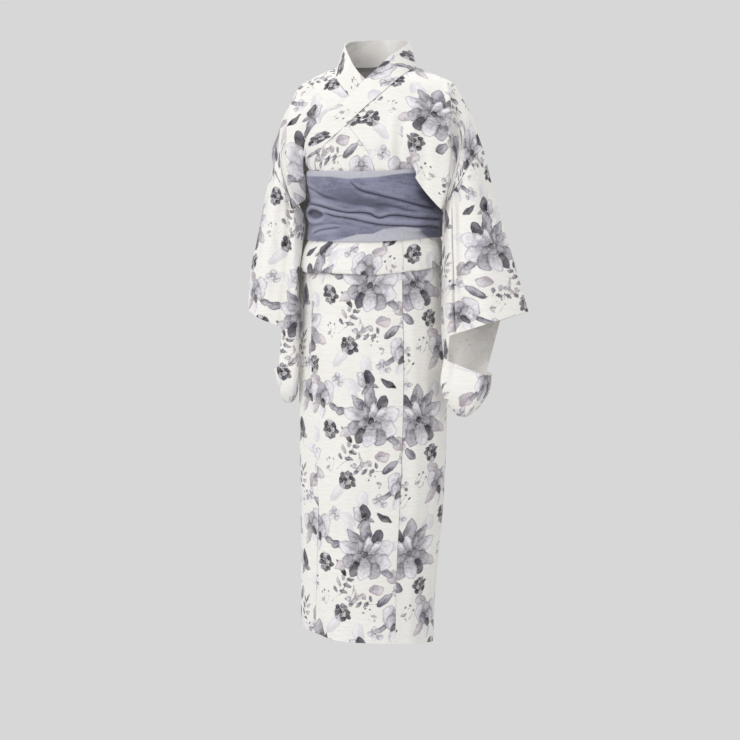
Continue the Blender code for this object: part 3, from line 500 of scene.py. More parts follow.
# How the cotton takes light, and how strong and how many millimetres high its relief is
COTTON_LOOK = {"Roughness": 0.88, "Sheen Weight": 0.12, "Sheen Roughness": 0.5, "Specular IOR Level": 0.25}
COTTON_RELIEF = (0.5, 0.25)
# Colours of the sash
SASH_SLATE = "#83859d"
SASH_DEEP = "#5f6178"
SASH_PALE = "#a0a2b4"
SASH_VEIL = "#c2c2ca"
SASH_VEIL_DEEP = "#b3b3bf"
# The next three: darker where layers overlap, in streaks and as painted shade in low places; a painted
# highlight on raised cloth, also paler where fewer layers lie; and painted shade in the creases
SASH_LAYERED_AND_SHADE = "#47475b"
SASH_HIGHLIGHT_AND_THIN = "#a3a4ba"
SASH_CREASE_SHADE = "#2e2e41"
# Uneven fields on the crepe
CREPE_NOISES = {
    # features for each millimetre across and down, detail, roughness
    "crinkle": (0.7, 0.09, 4.0, 0.6),
    "wash": (0.02, 0.035, 3.0, 0.5),
    "streaks": (0.03, 0.16, 4.0, 0.65),
    "grain": (1.8, 0.5, 2.0, 0.5),
}
# Its colours over the deep one, and then over all a painted highlight where it stands out of its surroundings
# or has fewer layers, and painted shade where it lies below them, where more layers lie over each other, and
# in
# patches of painted shade: the field that lays each, its levels where that begins and is full, how much there
# is then, and the colour
CREPE_WASHES = (
    ("wash", 0.3, 0.7, 1.0, SASH_SLATE),
    ("crinkle", 0.35, 0.7, 0.35, SASH_PALE),
    ("streaks", 0.45, 0.75, 0.45, SASH_PALE),
    ("streaks", 0.5, 0.25, 0.3, SASH_LAYERED_AND_SHADE),
)
CREPE_LIGHT_SHADE_AND_LAYERS = (("tone", 0.05, 1.0, 0.75, SASH_HIGHLIGHT_AND_THIN), ("tone", -0.05, -1.0, 0.85, SASH_LAYERED_AND_SHADE))
# How dark the painted shade in its creases is, how it takes light, and how strong and how many
# millimetres high its relief is
CREASE_SHADE_SHARE = 0.95
CREPE_LOOK = {"Roughness": 0.72, "Sheen Weight": 0.3, "Sheen Roughness": 0.4}
CREPE_RELIEF = (0.6, 0.5)
# How far the hem stitches lie from the edge, and half the width and the depth of the groove that they pull
HEM_STITCH = 12.0
HEM_GROOVE = 2.2
HEM_PULL = -2.5
# The hem distance of cloth that has no hem near
NO_HEM = 99.0

# The room, in metres
FLOOR_HEIGHT = -1.42
FLOOR_REACH = 30.0
ROOM_COLOUR = "#ffffff"
ROOM_STRENGTH = 0.68
# The direction from which the room is brightest, and how far other directions point to it (1 is the same, -1
# the opposite one) where its levels begin and end; and the rise of the directions over which the evenly lit
# band behind the garment gives way to those levels
ROOM_BRIGHTEST = (-0.45, -0.5, 0.74)
ROOM_TURN = (-0.6, 1.0)
ROOM_LEVELS = (0.1, 0.95)
ROOM_BAND = (0.1, 0.35)
LIGHTS = (
    # name, place, target, size, power in watts
    ("key", (-2.2, -3.6, 1.4), (0, 0, -0.5), 2.4, 57.0),
    ("fill", (3.2, -3.0, 0.6), (0, 0, -0.6), 2.4, 25.0),
    ("top", (0.4, 1.6, 2.4), (0, 0, -0.3), 2.0, 40.0),
)

# The camera, in metres and degrees
CAMERA_TURN = 17.0
CAMERA_RISE = 5.0
CAMERA_DISTANCE = 6.0
CAMERA_SHIFT = -0.01456
CAMERA_HEIGHT = -0.624
CAMERA_REACH = 100.0
SENSOR_WIDTH = 36.0
PICTURE_WIDTH = 1.5392

# The pieces that the sash is wound round
UNDER_SASH = ("body_panel_left", "body_panel_right", "overlap_panel_left")
# The cut of each cloth piece as far as it shows, in metres: its box, and its area where that isn't a box
SHEETS = (
    # piece, width, length, area, how it is held, what it lies on
    ("body_panel_left", 0.31, 0.62, 0.150, "hung", ()),
    ("body_panel_right", 0.31, 0.62, 0.150, "hung", ()),
    ("overlap_panel_left", 0.19, 0.29, 0.032, "draped", ("overlap_panel_right", "body_panel_right")),
    ("overlap_panel_right", 0.19, 0.29, 0.031, "draped", ()),
    ("collar", 0.055, 0.97, None, "folded", ("body_panel_left", "body_panel_right")),
    ("sleeve_left", 0.35, 0.50, 0.138, "hung", ("body_panel_left",)),
    ("sleeve_right", 0.33, 0.48, 0.115, "hung", ("body_panel_right",)),
    ("skirt_back_left", 0.151, 0.805, None, "hung", ("body_panel_left",)),
    ("skirt_back_right", 0.151, 0.80, None, "hung", ("body_panel_right",)),
    ("skirt_front_left", 0.176, 0.805, None, "hung", ("body_panel_left",)),
    ("skirt_front_right", 0.172, 0.79, None, "hung", ("body_panel_right",)),
    ("skirt_overlap_left", 0.194, 0.80, None, "hung", ("skirt_overlap_right",)),
    ("skirt_overlap_right", 0.191, 0.795, None, "hung", ("overlap_panel_right",)),
    ("sash_wrap", 0.145, 0.84, None, "gathered", UNDER_SASH),
    ("sash_knot", 0.043, 0.154, None, "folded", ("sash_wrap",)),
    ("sash_loop_left", 0.112, 0.27, 0.0222, "folded", ("sash_knot",)),
    ("sash_loop_right", 0.112, 0.27, 0.0222, "folded", ("sash_knot",)),
    ("sash_tail_left", 0.086, 0.335, 0.0235, "hung", ("sash_knot",)),
    ("sash_tail_right", 0.086, 0.305, 0.0213, "hung", ("sash_knot",)),
)

# The printed pattern repeats over this width and length of cloth, in these tones
REPEAT = (340.0, 277.0)
TONES = ("dark", "mid", "light", "mauve", "faint", "line")
# Shapes of each motif, drawn in this order, each over what is already there, in millimetres from its middle:
# x to the right, y down the cloth, turn in degrees; a leaf has two points and an oval has none
MOTIF_SHAPES = {
    "blossom": (
        # form, tone, x, y, turn, half_length, half_width
        ("leaf", "faint", -56, -24, -68, 24, 12),
        ("leaf", "mauve", 52, 36, -56, 22, 11),
        ("leaf", "mid", -52, 36, 56, 22, 8),
        ("leaf", "faint", 46, -48, 44, 24, 11),
        ("leaf", "dark", -17, -40, -20, 26, 12),
        ("leaf", "mid", 9, -46, 10, 29, 14),
        ("leaf", "mid", 34, -32, 45, 26, 12),
        ("leaf", "light", 42, -7, 80, 29, 16),
        ("oval", "light", -33, -16, -64, 27, 22),
        ("oval", "light", -36, 12, 72, 24, 19),
        ("oval", "mid", 30, 21, -54, 24, 17),
        ("oval", "dark", 17, 35, -26, 22, 15),
        ("oval", "mid", -19, 33, 30, 24, 18),
        ("oval", "light", -1, 40, 2, 22, 16),
        ("oval", "mid", 1, 7, 90, 22, 17),
        ("leaf", "light", -14, -15, -40, 19, 10),
        ("leaf", "mid", 13, -15, 40, 19, 9),
        ("leaf", "light", 0, -19, 0, 20, 9),
        ("oval", "mid", -15, 8, 64, 14, 9),
        ("oval", "mid", 15, 8, -64, 14, 9),
        ("oval", "dark", 0, 4, 0, 8, 8),
    ),
    "cup": (
        ("leaf", "mid", -27, 28, 46, 20, 8),
        ("leaf", "mauve", 30, 27, -50, 23, 11),
        ("leaf", "faint", 4, 38, 0, 20, 10),
        ("oval", "light", -17, -5, -16, 30, 19),
        ("oval", "light", 17, -6, 18, 29, 18),
        ("oval", "mid", 0, -5, 0, 26, 14),
        ("oval", "light", -9, 9, -24, 20, 12),
        ("oval", "mid", 11, 11, 26, 18, 11),
        ("leaf", "dark", 1, 20, 0, 13, 8),
    ),
    "bud": (
        ("leaf", "mid", 8, 16, -50, 15, 5),
        ("leaf", "light", -5, -2, -10, 23, 14),
        ("leaf", "dark", 6, -1, 12, 22, 11),
        ("leaf", "mid", -9, 17, 48, 14, 5),
    ),
    "rosette": (
        ("oval", "mid", 0, 0, 0, 20, 16),
        ("oval", "dark", -9, -9, 40, 8, 5.5),
        ("oval", "dark", 8, -10, -40, 8, 5.5),
        ("oval", "light", 0, -14, 90, 6, 3.5),
        ("oval", "dark", 12, 3, -80, 8, 5),
        ("oval", "dark", -12, 4, 80, 8, 5),
        ("oval", "light", -5, 0, 30, 5, 3),
        ("oval", "dark", 4, 2, -20, 6, 5),
        ("oval", "dark", -6, 13, 60, 7, 4.5),
        ("oval", "mid", 7, 13, -60, 7, 4.5),
        ("oval", "light", 3, 8, 0, 3, 2.5),
    ),
    "broad_leaf": (("leaf", "mauve", 0, 0, 0, 18, 12),),
    "grey_leaf": (("leaf", "mid", 0, 0, 0, 19, 9),),
    "pale_leaf": (("leaf", "faint", 0, 0, 0, 22, 11),),
    "narrow_leaf": (("leaf", "dark", 0, 0, 0, 24, 7),),
    "spray": (
        ("leaf", "mid", -7, -28, -55, 9, 3.6),
        ("leaf", "mauve", 9, -22, 50, 10, 4.2),
        ("leaf", "mid", -8, -12, -58, 10, 4.2),
        ("leaf", "mauve", 10, -5, 52, 11, 4.4),
        ("leaf", "mid", -8, 5, -60, 10, 4),
        ("leaf", "mid", 9, 12, 55, 9, 3.6),
        ("leaf", "mid", 1, -40, 4, 9, 3.6),
    ),
    "small_blossom": (
        ("oval", "light", 0, -9, 0, 7, 6),
        ("oval", "light", 9, -2, 70, 7, 6),
        ("oval", "faint", 6, 8, 140, 7, 6),
        ("oval", "light", -6, 8, 40, 7, 6),
        ("oval", "faint", -9, -2, -70, 7, 6),
        ("oval", "dark", 0, 0, 0, 2.4, 2.4),
    ),
    "sprig": (
        ("oval", "dark", -9, -13, 0, 2.6, 2.6),
        ("oval", "dark", 1, -18, 0, 2.8, 2.8),
        ("oval", "dark", 10, -12, 0, 2.5, 2.5),
        ("leaf", "mauve", 6, 4, -50, 8, 3),
    ),
    "berries": (
        ("oval", "light", -12, 10, 0, 5, 5),
        ("oval", "mauve", -2, 17, 0, 5.4, 5.4),
        ("oval", "light", 10, 12, 0, 5, 5),
        ("oval", "mid", 5, 25, 0, 4.4, 4.4),
    ),
}
# Strokes of each motif, from a start to an end past a bend to the side
MOTIF_STROKES = {
    "blossom": (
        # tone, x, y, x_end, y_end, bend, half_width
        ("dark", -3, -4, -9, -16, -2, 0.8),
        ("dark", 1, -6, 0, -20, 1, 0.8),
        ("dark", 5, -4, 13, -14, 2, 0.8),
        ("line", -16, -8, -48, -24, 3, 0.5),
        ("line", -18, -2, -50, -8, -2, 0.5),
        ("line", -18, 8, -50, 20, -3, 0.5),
        ("line", 18, -2, 58, -10, -3, 0.5),
        ("line", 18, -8, 54, -20, 3, 0.5),
        ("dark", 16, 12, 44, 32, -3, 0.6),
        ("dark", 10, 16, 26, 48, 3, 0.6),
        ("line", -2, 18, -2, 56, 2, 0.5),
        ("dark", -8, 15, -28, 48, -3, 0.6),
        ("line", 8, -24, 11, -64, 2, 0.5),
    ),
    "cup": (
        ("line", -14, -28, -12, 16, -6, 0.5),
        ("line", -24, -20, -16, 14, -6, 0.5),
        ("line", 15, -28, 12, 16, 6, 0.5),
        ("line", 0, -26, 1, 8, 2, 0.5),
        ("mid", 1, 30, 8, 58, 5, 0.9),
    ),
    "bud": (("mid", 0, 20, 6, 44, 4, 0.9), ("line", -6, -18, -6, 14, -4, 0.5)),
    "broad_leaf": (("line", 0, -17, 0, 17, 1.5, 0.6),),
    "grey_leaf": (("line", 0, -18, 0, 18, 1.5, 0.5),),
    "pale_leaf": (("faint", 0, -20, 0, 30, 2, 0.6),),
    "narrow_leaf": (("line", 0, -22, 0, 22, 1.5, 0.5),),
    "spray": (("mid", 0, -34, 2, 36, 7, 0.8),),
    "sprig": (
        ("mid", 0, 16, -9, -11, -4, 0.6),
        ("mid", 0, 16, 1, -16, 2, 0.6),
        ("mid", 0, 16, 10, -10, 5, 0.6),
    ),
    "berries": (
        ("mid", 0, -16, -11, 6, -3, 0.6),
        ("mid", 0, -16, -2, 13, 1, 0.6),
        ("mid", 0, -16, 10, 8, 4, 0.6),
        ("mid", 0, -16, 5, 21, 6, 0.6),
    ),
}
# Where the motifs lie in one repeat, in the order in which they are drawn; a size below 0 mirrors the motif
MOTIFS = {
    # motif: across, down, turn and size of each
    "pale_leaf": (
        (126, 24, 60, 1.0),
        (152, 246, -40, 1.1),
        (300, 16, 30, 1.0),
        (214, 128, 20, 0.9),
        (96, 262, 15, 1.1),
    ),
    "spray": ((134, 168, -34, 1.0), (322, 148, 24, 0.9), (84, 196, 84, -0.9)),
    "berries": ((108, 176, 0, 1.0), (286, 36, 10, -0.9)),
    "small_blossom": ((158, 14, 0, 1.0), (60, 262, 20, 1.0), (288, 118, 50, 0.9), (14, 178, 30, 1.0)),
    "sprig": (
        (284, 86, -20, 1.0),
        (334, 186, 25, -1.0),
        (172, 190, 10, 0.9),
        (246, 44, -15, 1.0),
        (72, 226, 35, -0.9),
    ),
    "grey_leaf": ((152, 78, 66, 0.9), (44, 192, -50, 1.0), (308, 112, 20, 0.9), (272, 262, 40, 0.9)),
    "broad_leaf": ((26, 146, 34, 1.0), (300, 252, -44, 1.0), (218, 16, 70, 0.9), (60, 170, -76, -0.9)),
    "narrow_leaf": ((136, 128, 35, 0.9), (52, 20, 60, 0.9), (314, 180, -50, 0.8)),
    "rosette": ((174, 116, 0, 1.0), (132, 222, 140, -1.0), (222, 262, 200, 0.95)),
    "bud": ((322, 40, -20, 1.0), (96, 14, 24, -0.95)),
    "cup": ((196, 48, 8, 0.85), (20, 236, -18, -0.8)),
    "blossom": ((84, 96, -8, 0.9), (258, 190, 14, -0.94)),
}
# The hand-drawn wobble of all the shapes: waves in one repeat across and down, and their height
WOBBLE = ((6, 5, 1.6), (17, 13, 0.9))
# The tones with an outline and half its width, how much one half of a leaf is darker than the other, and over
# which width at its middle that changes
OUTLINED = ("mid", "light", "mauve")
OUTLINE = 0.45
LEAF_HALVES = 0.2
LEAF_MIDRIB = 1.5
# A shape that is nearer than this to the middle of its motif has its base at one end of itself
CENTRAL = 3
# How far beyond a shape the run from its base to its tip goes on, the depth where there is no shape, and the
# largest depth that is kept
FLOW_BEYOND = 1.5
NO_SHAPE = 20.0
DEPTH_LIMIT = 8
# Where each panel's cloth begins in the repeat, across and down
PRINT_STARTS = {
    "body_left": (112.0, 30.0),
    "body_right": (205.0, 128.0),
    "overlap_left": (20.0, 210.0),
    "overlap_right": (250.0, 90.0),
    "collar": (150.0, 300.0),
    "sleeve_left": (292.0, 165.0),
    "sleeve_right": (64.0, 12.0),
}

# How far apart the points of the nets are on the cloth, and the rows and columns of the sash's net
SPACING = 3.1
SASH_NET = ((86, 330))
# The rows of the knot's and the loops' nets with the degrees from column to column, and the tails' net
KNOT_NET = (22, 5.0)
LOOP_NET = (40, 3.0)
TAIL_NET = (90, 34)
# Edges sharper than this are drawn sharp, in degrees
SHARP_ANGLE = 55
# How many faces of a net are looked at to see whether it is turned in
SAMPLE_FACES = 50
# The shells: where their inner and outer faces lie between the faces of the solids
COTTON_FACES = (0.15, 1.05)
COLLAR_FACES = (0.15, 2.25)
SASH_FACES = (0.4, 1.8)
TAIL_FACES = (0.1, 1.1)
# A third of the collar's width, and the share of it by which the collar reaches down to the panels where it
# stands
COLLAR_THIRD = 18.0
COLLAR_ALLOWANCE = 0.1

# Where the parts lie on the flat cloth: millimetres down the chest for each one forward, how far across and
# down the tuck of the body panels begins, and how far down the ends of the collar in the tuck begin
CHEST_RUN = 0.85
TUCK_START = (40.0, 330.0)
COLLAR_END = 700.0

# The share of its length by which a fold fades within and beyond each of its ends
FOLD_ENDS = 0.15
# Soft folds of the cloth above the sash, ridges with a height above 0 and hollows with one below it
CHEST_FOLDS = (
    # x, z, x_end, z_end, height, half_width
    (66, -96, 58, -212, 2.4, 7.0),
    (84, -110, 74, -212, -2.2, 8.0),
    (112, -70, 96, -212, 2.6, 10.0),
    (132, -60, 128, -250, -2.2, 9.0),
    (-42, -110, -36, -212, 1.8, 7.0),
    (-66, -90, -58, -212, -2.2, 8.0),
    (-92, -80, -80, -212, 2.6, 9.0),
    (-118, -60, -112, -240, -2.4, 9.0),
    (-140, -50, -146, -240, 1.8, 8.0),
)
BACK_FOLDS = (
    (40, -80, 46, -212, 2.0, 9.0),
    (-36, -90, -44, -212, 2.2, 9.0),
    (84, -60, 74, -212, -2.2, 9.0),
    (-80, -66, -72, -212, -2.0, 9.0),
    (118, -70, 110, -240, 2.4, 10.0),
    (-122, -60, -112, -240, 2.6, 10.0),
)
# How much deeper they are pressed
FOLD_DEPTH = 1.6
# They rise over this depth from the shoulder line and over the inner columns, and fade over the outer ones:
# the column where that starts, and over how many
FOLD_FADE_DEPTH = 60
FOLD_FADE_INNER = (-0.2, 1.2)
FOLD_FADE_OUTER = (9, 1.5)
# Down to which share of its free edge the cloth beyond the tucked part stays joined to it
JOINED_TO = 0.8
# Folds of the skirt, with places round the form in degrees
SKIRT_FOLDS = (
    # angle, z, angle_end, z_end, height, half_width
    (-70, -420, -62, -900, 1.6, 11.0),
    (-38, -410, -34, -1000, -1.8, 9.0),
    (-12, -430, -4, -1180, 1.8, 12.0),
    (14, -450, 12, -1000, -1.4, 9.0),
    (44, -440, 52, -1180, 2.2, 12.0),
    (64, -430, 66, -1180, -2.2, 11.0),
    (84, -470, 86, -1180, 2.4, 13.0),
    (104, -450, 108, -1180, -2.0, 10.0),
    (140, -420, 146, -1180, 2.6, 13.0),
    (166, -430, 168, -1000, -2.2, 11.0),
    (-96, -500, -92, -1160, 2.2, 12.0),
    (-120, -430, -126, -1160, -2.2, 11.0),
    (-148, -420, -152, -1180, 2.6, 13.0),
    (-172, -440, -170, -1100, 2.0, 10.0),
)
# How far below the tuck they begin, and over which height
SKIRT_FOLDS_BELOW = 30
SKIRT_FOLDS_OVER = 90
# Folds of the tuck, with places round the form in degrees
TUCK_FOLDS = (
    # angle, z, angle_end, z_end, height, half_width
    (-40, -352, -34, -416, 1.2, 6.0),
    (-18, -350, -12, -400, -1.2, 6.0),
    (4, -350, 8, -414, 1.4, 7.0),
    (26, -350, 27, -412, -1.4, 6.0),
    (46, -350, 52, -410, 1.4, 7.0),
    (72, -350, 74, -404, -1.2, 7.0),
    (100, -350, 102, -402, 1.4, 8.0),
    (132, -350, 130, -402, -1.4, 8.0),
    (160, -350, 162, -402, 1.4, 8.0),
    (-76, -350, -78, -404, 1.2, 7.0),
    (-104, -350, -102, -402, -1.2, 8.0),
    (-136, -350, -138, -402, 1.4, 8.0),
    (-164, -350, -162, -402, -1.2, 8.0),
)
# Waves of the tuck's lower edge: how many go round the body, and their height
TUCK_WAVES = ((7, 0.9), (17, 0.7), (31, 0.4))
# The tuck seen from above, to turn its points into angles: how far its centre is to the right, and how much
# wider than deep it is
TUCK_CENTRE = 6
TUCK_FLATNESS = 1.25
# Folds of the sleeves, with places as shares of the way round from the front edge to the back one
SLEEVE_FOLDS = (
    # share, z, share_end, z_end, height, half_width
    (0.34, -210, 0.32, -500, -2.6, 9.0),
    (0.42, -190, 0.4, -420, 2.6, 10.0),
    (0.4, -330, 0.32, -380, 2.2, 6.0),
    (0.45, -300, 0.38, -345, -2.0, 6.0),
    (0.58, -200, 0.6, -480, 2.6, 10.0),
    (0.7, -230, 0.72, -500, -2.6, 10.0),
    (0.86, -260, 0.84, -560, 2.4, 9.0),
)
# The sharp crease beside the roll of cloth at each sleeve's inner front, and the swell next to it
SLEEVE_CREASES = {
    "left": ((0.185, -190, 0.18, -620, -9.0, 3.6), (0.215, -190, 0.21, -560, 3.0, 7.0)),
    "right": ((0.262, -215, 0.262, -545, -6.0, 5.0), (0.2, -215, 0.2, -600, 3.0, 12.0)),
}
# Over which length from the armhole and over which share from the open edges these folds begin
SLEEVE_FADE_DOWN = 50
SLEEVE_FADE_SHARE = 0.06
# Millimetres down the cloth of the sleeves for each one of height, round a sleeve for the whole way from edge
# to edge, and round the form for one degree
SLEEVE_RUN = 1.05
SLEEVE_ROUND = 330.0
DEGREE = 2.35

# Creases pressed into the sash, each a sharp valley between two soft ridges along a line of points: the three
# long ones in front, and all
UPPER_PLEAT = ((-12, -222), (-9, -230), (0, -247), (10, -254), (20, -260), (34, -268), (56, -281), (70, -286))
MIDDLE_PLEAT = ((-62, -279), (-38, -282), (-24, -288), (-12, -293), (9, -296), (16, -304), (24, -299))
MIDDLE_PLEAT += ((48, -304), (88, -309))
LOWER_PLEAT = ((-36, -292), (-24, -300), (-10, -304), (2, -310), (14, -316), (39, -320), (66, -322))
LOWER_PLEAT += ((84, -327),)
SASH_PLEATS = (
    # height of the ridges, their half_width, points of angle and z
    (4.4, 7.5, UPPER_PLEAT),
    (6.0, 7.0, MIDDLE_PLEAT),
    (5.2, 6.0, LOWER_PLEAT),
    (2.6, 7.0, ((-74, -240), (-50, -250), (-36, -260), (-20, -268))),
    (3.4, 6.0, ((-56, -342), (-38, -330), (-26, -326), (-14, -322))),
    (1.4, 4.0, ((-40, -321), (-21, -316), (-10, -321))),
    (1.6, 5.0, ((4, -281), (22, -278), (40, -288), (52, -292))),
    (1.2, 4.0, ((30, -232), (56, -240), (84, -246))),
    (3.0, 7.0, ((100, -250), (124, -258), (150, -262), (168, -266))),
    (2.6, 6.0, ((92, -292), (120, -288), (148, -284), (170, -278))),
    (2.2, 6.0, ((96, -326), (130, -318), (160, -306), (174, -292))),
    (3.0, 7.0, ((190, -262), (214, -256), (240, -250), (262, -256))),
    (2.6, 6.0, ((188, -284), (210, -296), (238, -304), (266, -300))),
    (2.0, 6.0, ((190, -300), (214, -322), (244, -332), (268, -336))),
)
# How far the folds and creases may rise in all, and over which distance from the edges they get there
SASH_LIFT_LIMIT = 8.0
SASH_EDGE = 8.0
# The broad folds are highest at the sash's right side: its angle, its half_angle, and their share elsewhere
SASH_FOLDS_SIDE = (-88, 34)
SASH_FOLDS_ELSEWHERE = 0.35
# Each crease: how soon it begins and ends, its width and its lift below its line as shares of those above it,
# the width of the painted shade along its line and of the painted shade above and below it, and the height of
# ridges with the darkest painted shade
PLEAT_FADE = 10
PLEAT_BELOW = (0.7, 0.55)
PLEAT_LINE = 1.9
PLEAT_SHADE = (5.5, 2.0)
PLEAT_DARKEST = 5
# The looped hollow of a loosely turned end at that side: angle, z, half width, half height, rim and depth
SASH_HOLLOW = (-50.0, -299.0, 34.0, 12.0, 4.0, 4.0)
# In shares of its half width and half height: the ring of the rim and its width, the reach of the hollow, and
# the ring of painted shade along its looped edge, its width and how dark it is; and how that painted shade
# fades below the middle
HOLLOW_RIM = (1.25, 0.35)
HOLLOW_REACH = 0.8
HOLLOW_LOOP = (0.7, 0.3, 1.3)
HOLLOW_FADE = (9, 0.55)
# How far the cloth stands out of its surroundings, some rows to each side, where its painted highlight is
# palest;
# as far below them, its painted shade is darkest
SASH_RELIEF = 1.6
SASH_SURROUNDINGS = 5
# Millimetres round the sash for one radian
SASH_RADIUS = 135
# Where the sash has only one sheer layer: below its upper edge, and above its lower edge in front
VEIL_TOP = ((-90, -222), (-26, -221), (-10, -225), (14, -221), (26, -216), (37, -213), (60, -212))
VEIL_BOTTOM = ((-62, -358), (-26, -352), (-16, -348), (-2, -338), (12, -336), (20, -326), (37, -322))
VEIL_BOTTOM += ((52, -326), (68, -354))
# Over which height the veil gives way to the layers, and a height below the sash where there is none
VEIL_EDGE = 2.5
NO_VEIL = -400
# Places of the sash painted darker: partly where more layers lie over each other, partly painted shade,
# darkest at its left end, where the left front's cloth hangs over it
SASH_LAYERS_AND_SHADE = (
    # angle, z, half_angle, half_height, share
    (10, -276, 24, 13, 0.8),
    (-14, -256, 26, 14, 0.55),
    (40, -290, 22, 8, 0.45),
    (62, -262, 14, 34, 0.85),
    (66, -322, 13, 24, 1.3),
    (140, -290, 30, 30, 0.35),
    (220, -280, 30, 30, 0.35),
)
# Places where fewer layers lie over each other and look paler
SASH_THIN = (
    (-64, -240, 20, 22, 0.5),
    (-40, -332, 30, 12, 0.75),
    (-6, -322, 22, 8, 0.5),
    (26, -236, 16, 12, 0.35),
    (14, -309, 26, 4, 0.4),
)


def curve(at, table):
    """Smooth curve through the rows of a table, by its first column: cubic, slopes from the neighbours."""
    rows = np.asarray(table, float)
    rows = rows[np.argsort(rows[:, 0])]
    stations = rows[:, 0]
    values = rows[:, 1:]
    slopes = np.gradient(values, stations, axis=0)
    at = np.clip(np.atleast_1d(np.asarray(at, float)), stations[0], stations[-1])
    i = np.clip(np.searchsorted(stations, at, side="right") - 1, 0, len(stations) - 2)
    step = (stations[i + 1] - stations[i])[..., None]
    t = (at - stations[i])[..., None] / step
    return (
        (2 * t**3 - 3 * t**2 + 1) * values[i]
        + (t**3 - 2 * t**2 + t) * step * slopes[i]
        + (3 * t**2 - 2 * t**3) * values[i + 1]
        + (t**3 - t**2) * step * slopes[i + 1]
    )


def straight(at, table):
    """Straight runs through the rows of a table, by its first column."""
    rows = np.asarray(sorted(table), float)
    return np.stack([np.interp(at, rows[:, 0], column) for column in rows[:, 1:].T], axis=-1)


def smoothstep(t):
    """Eased from 0 to 1: 3 t^2 - 2 t^3."""
    t = np.clip(t, 0, 1)
    return t * t * (3 - 2 * t)


def bell(values):
    """1 at 0 and falling to both sides: exp(-v^2)."""
    return np.exp(-(values**2))


def points(x, y, z):
    """Points of a net from coordinates whose shapes fit each other."""
    return np.stack(np.broadcast_arrays(x, y, z), axis=-1).astype(float)


def on_body(angle, height, stand_off=0.0):
    """Points at angles (degrees) and heights, standing off the close form by some millimetres."""
    half, front, back, centre = np.moveaxis(straight(height, CLOSE_FORM), -1, 0)
    turn = np.radians(angle)
    depth = np.where(np.cos(turn) > 0, front, back)
    x = centre + (half + stand_off) * np.sin(turn)
    return points(x, -(depth + stand_off) * np.cos(turn), height)


def on_sheet(x, height, loose, back):
    """Points of a panel above the sash: 0 is close to the body and 1 hangs loose."""
    depths = []
    for form in (CLOSE_FORM, LOOSE_FORM):
        half, front, rear, centre = np.moveaxis(straight(height, form), -1, 0)
        depth = rear if back else -front
        share = np.clip((x - centre) / half, -1, 1)
        depths.append(depth * np.sqrt(1 - share**2))
    return points(x, depths[0] * (1 - loose) + depths[1] * loose, height)


def seam_points(stations):
    """Points of the collar seam on the left side, from the nape (0) to the lower end (12)."""
    stations = np.asarray(stations, float)
    turn = np.radians(45 * np.clip(stations, 0, 2))
    at_nape = points(NAPE[0] * np.sin(turn), NAPE[1] * np.cos(turn), NAPE[2])
    angle, height = curve(stations, SEAM).T
    return np.where((stations <= 2)[:, None], at_nape, on_body(angle, height))


def collar_on_chest(stations, share):
    """Points of the left collar where it lies on the chest: share 0 is its seam, 1 its free edge."""
    seam_angle, seam_height = curve(stations, SEAM).T
    edge_angle, edge_height = curve(stations, COLLAR_EDGE_ON_CHEST).T
    angle = seam_angle * (1 - share) + edge_angle * share
    return on_body(angle, seam_height * (1 - share) + edge_height * share)


def collar_points(stations, share):
    """Points of the left collar from the nape (0) to the sash (10), across it by share."""
    stations = np.asarray(stations, float)
    at_neck = [row[0] for row in COLLAR_EDGE_AT_NECK]
    edge = np.array([row[1:] for row in COLLAR_EDGE_AT_NECK], float)
    seam = seam_points(at_neck)
    standing = seam * (1 - share) + edge * share
    lying = collar_on_chest((5, 6, 7), share)
    net = np.concatenate([standing, lying])
    table = np.concatenate([np.arange(len(net))[:, None], net], axis=1)
    free = curve(stations, table)
    return np.where((stations < 6)[:, None], free, collar_on_chest(stations, share))


def panel_edge_at_collar(stations):
    """The edge of a panel at the collar seam: below the collar where that stands, beside it where it lies."""
    stations = np.asarray(stations, float)
    near = collar_points(stations, 0.0)
    across = collar_points(stations, 0.2) - near
    distance = SEAM_GAP + (CLOTH + SEAM_GAP) * (1 - smoothstep((stations - LYING_FROM) / LYING_OVER))
    return near - across / np.linalg.norm(across, axis=-1, keepdims=True) * distance[:, None]


def station_lift(stations):
    """How far the left front is raised at stations of the collar seam, to lie over the right one."""
    return LEFT_LAP * smoothstep((np.asarray(stations, float) - 2) / RAISED_OVER)


def raised(grid, distance):
    """Points of the chest and neck moved outwards, all in directions away from inside the chest."""
    away = grid * np.array([1.0, LIFT_FORWARD, 0.0])
    away[..., 2] = np.maximum(grid[..., 2] + LIFT_UP_FROM, 0)
    away /= np.linalg.norm(away, axis=-1, keepdims=True)
    return grid + away * np.broadcast_to(distance, grid.shape[:-1])[..., None]


def by_height(heights, table):
    """Values of a table whose first column is a height, at other heights."""
    rows = [(-row[0], *row[1:]) for row in table]
    return curve(-np.asarray(heights, float), rows)


def skirt_lap(angle):
    """How far the left layer of the skirt stands off the right one."""
    start, over = SKIRT_LAP_START
    fade = 1 - smoothstep((angle - SKIRT_LAP_END) / (SIDE_SEAM - SKIRT_LAP_END))
    return SKIRT_LAP * fade * smoothstep((angle - start) / over)


def left_lap(angle):
    """How far the left layer of the upper cloth stands off the right one, under the sash and in the tuck."""
    return LEFT_LAP * (1 - smoothstep((angle - LEFT_LAP_END) / (SIDE_SEAM - LEFT_LAP_END)))


def tuck_bottom(angle):
    """Height of the tuck's lower edge: lower in front than behind."""
    left_from, left_over = TUCK_RISE_LEFT
    right_from, right_over = TUCK_RISE_RIGHT
    rise_left = smoothstep((angle - left_from) / left_over)
    rise = np.maximum(rise_left, smoothstep((-angle - right_from) / right_over))
    return TUCK_BOTTOM + (TUCK_BOTTOM_BEHIND - TUCK_BOTTOM) * rise


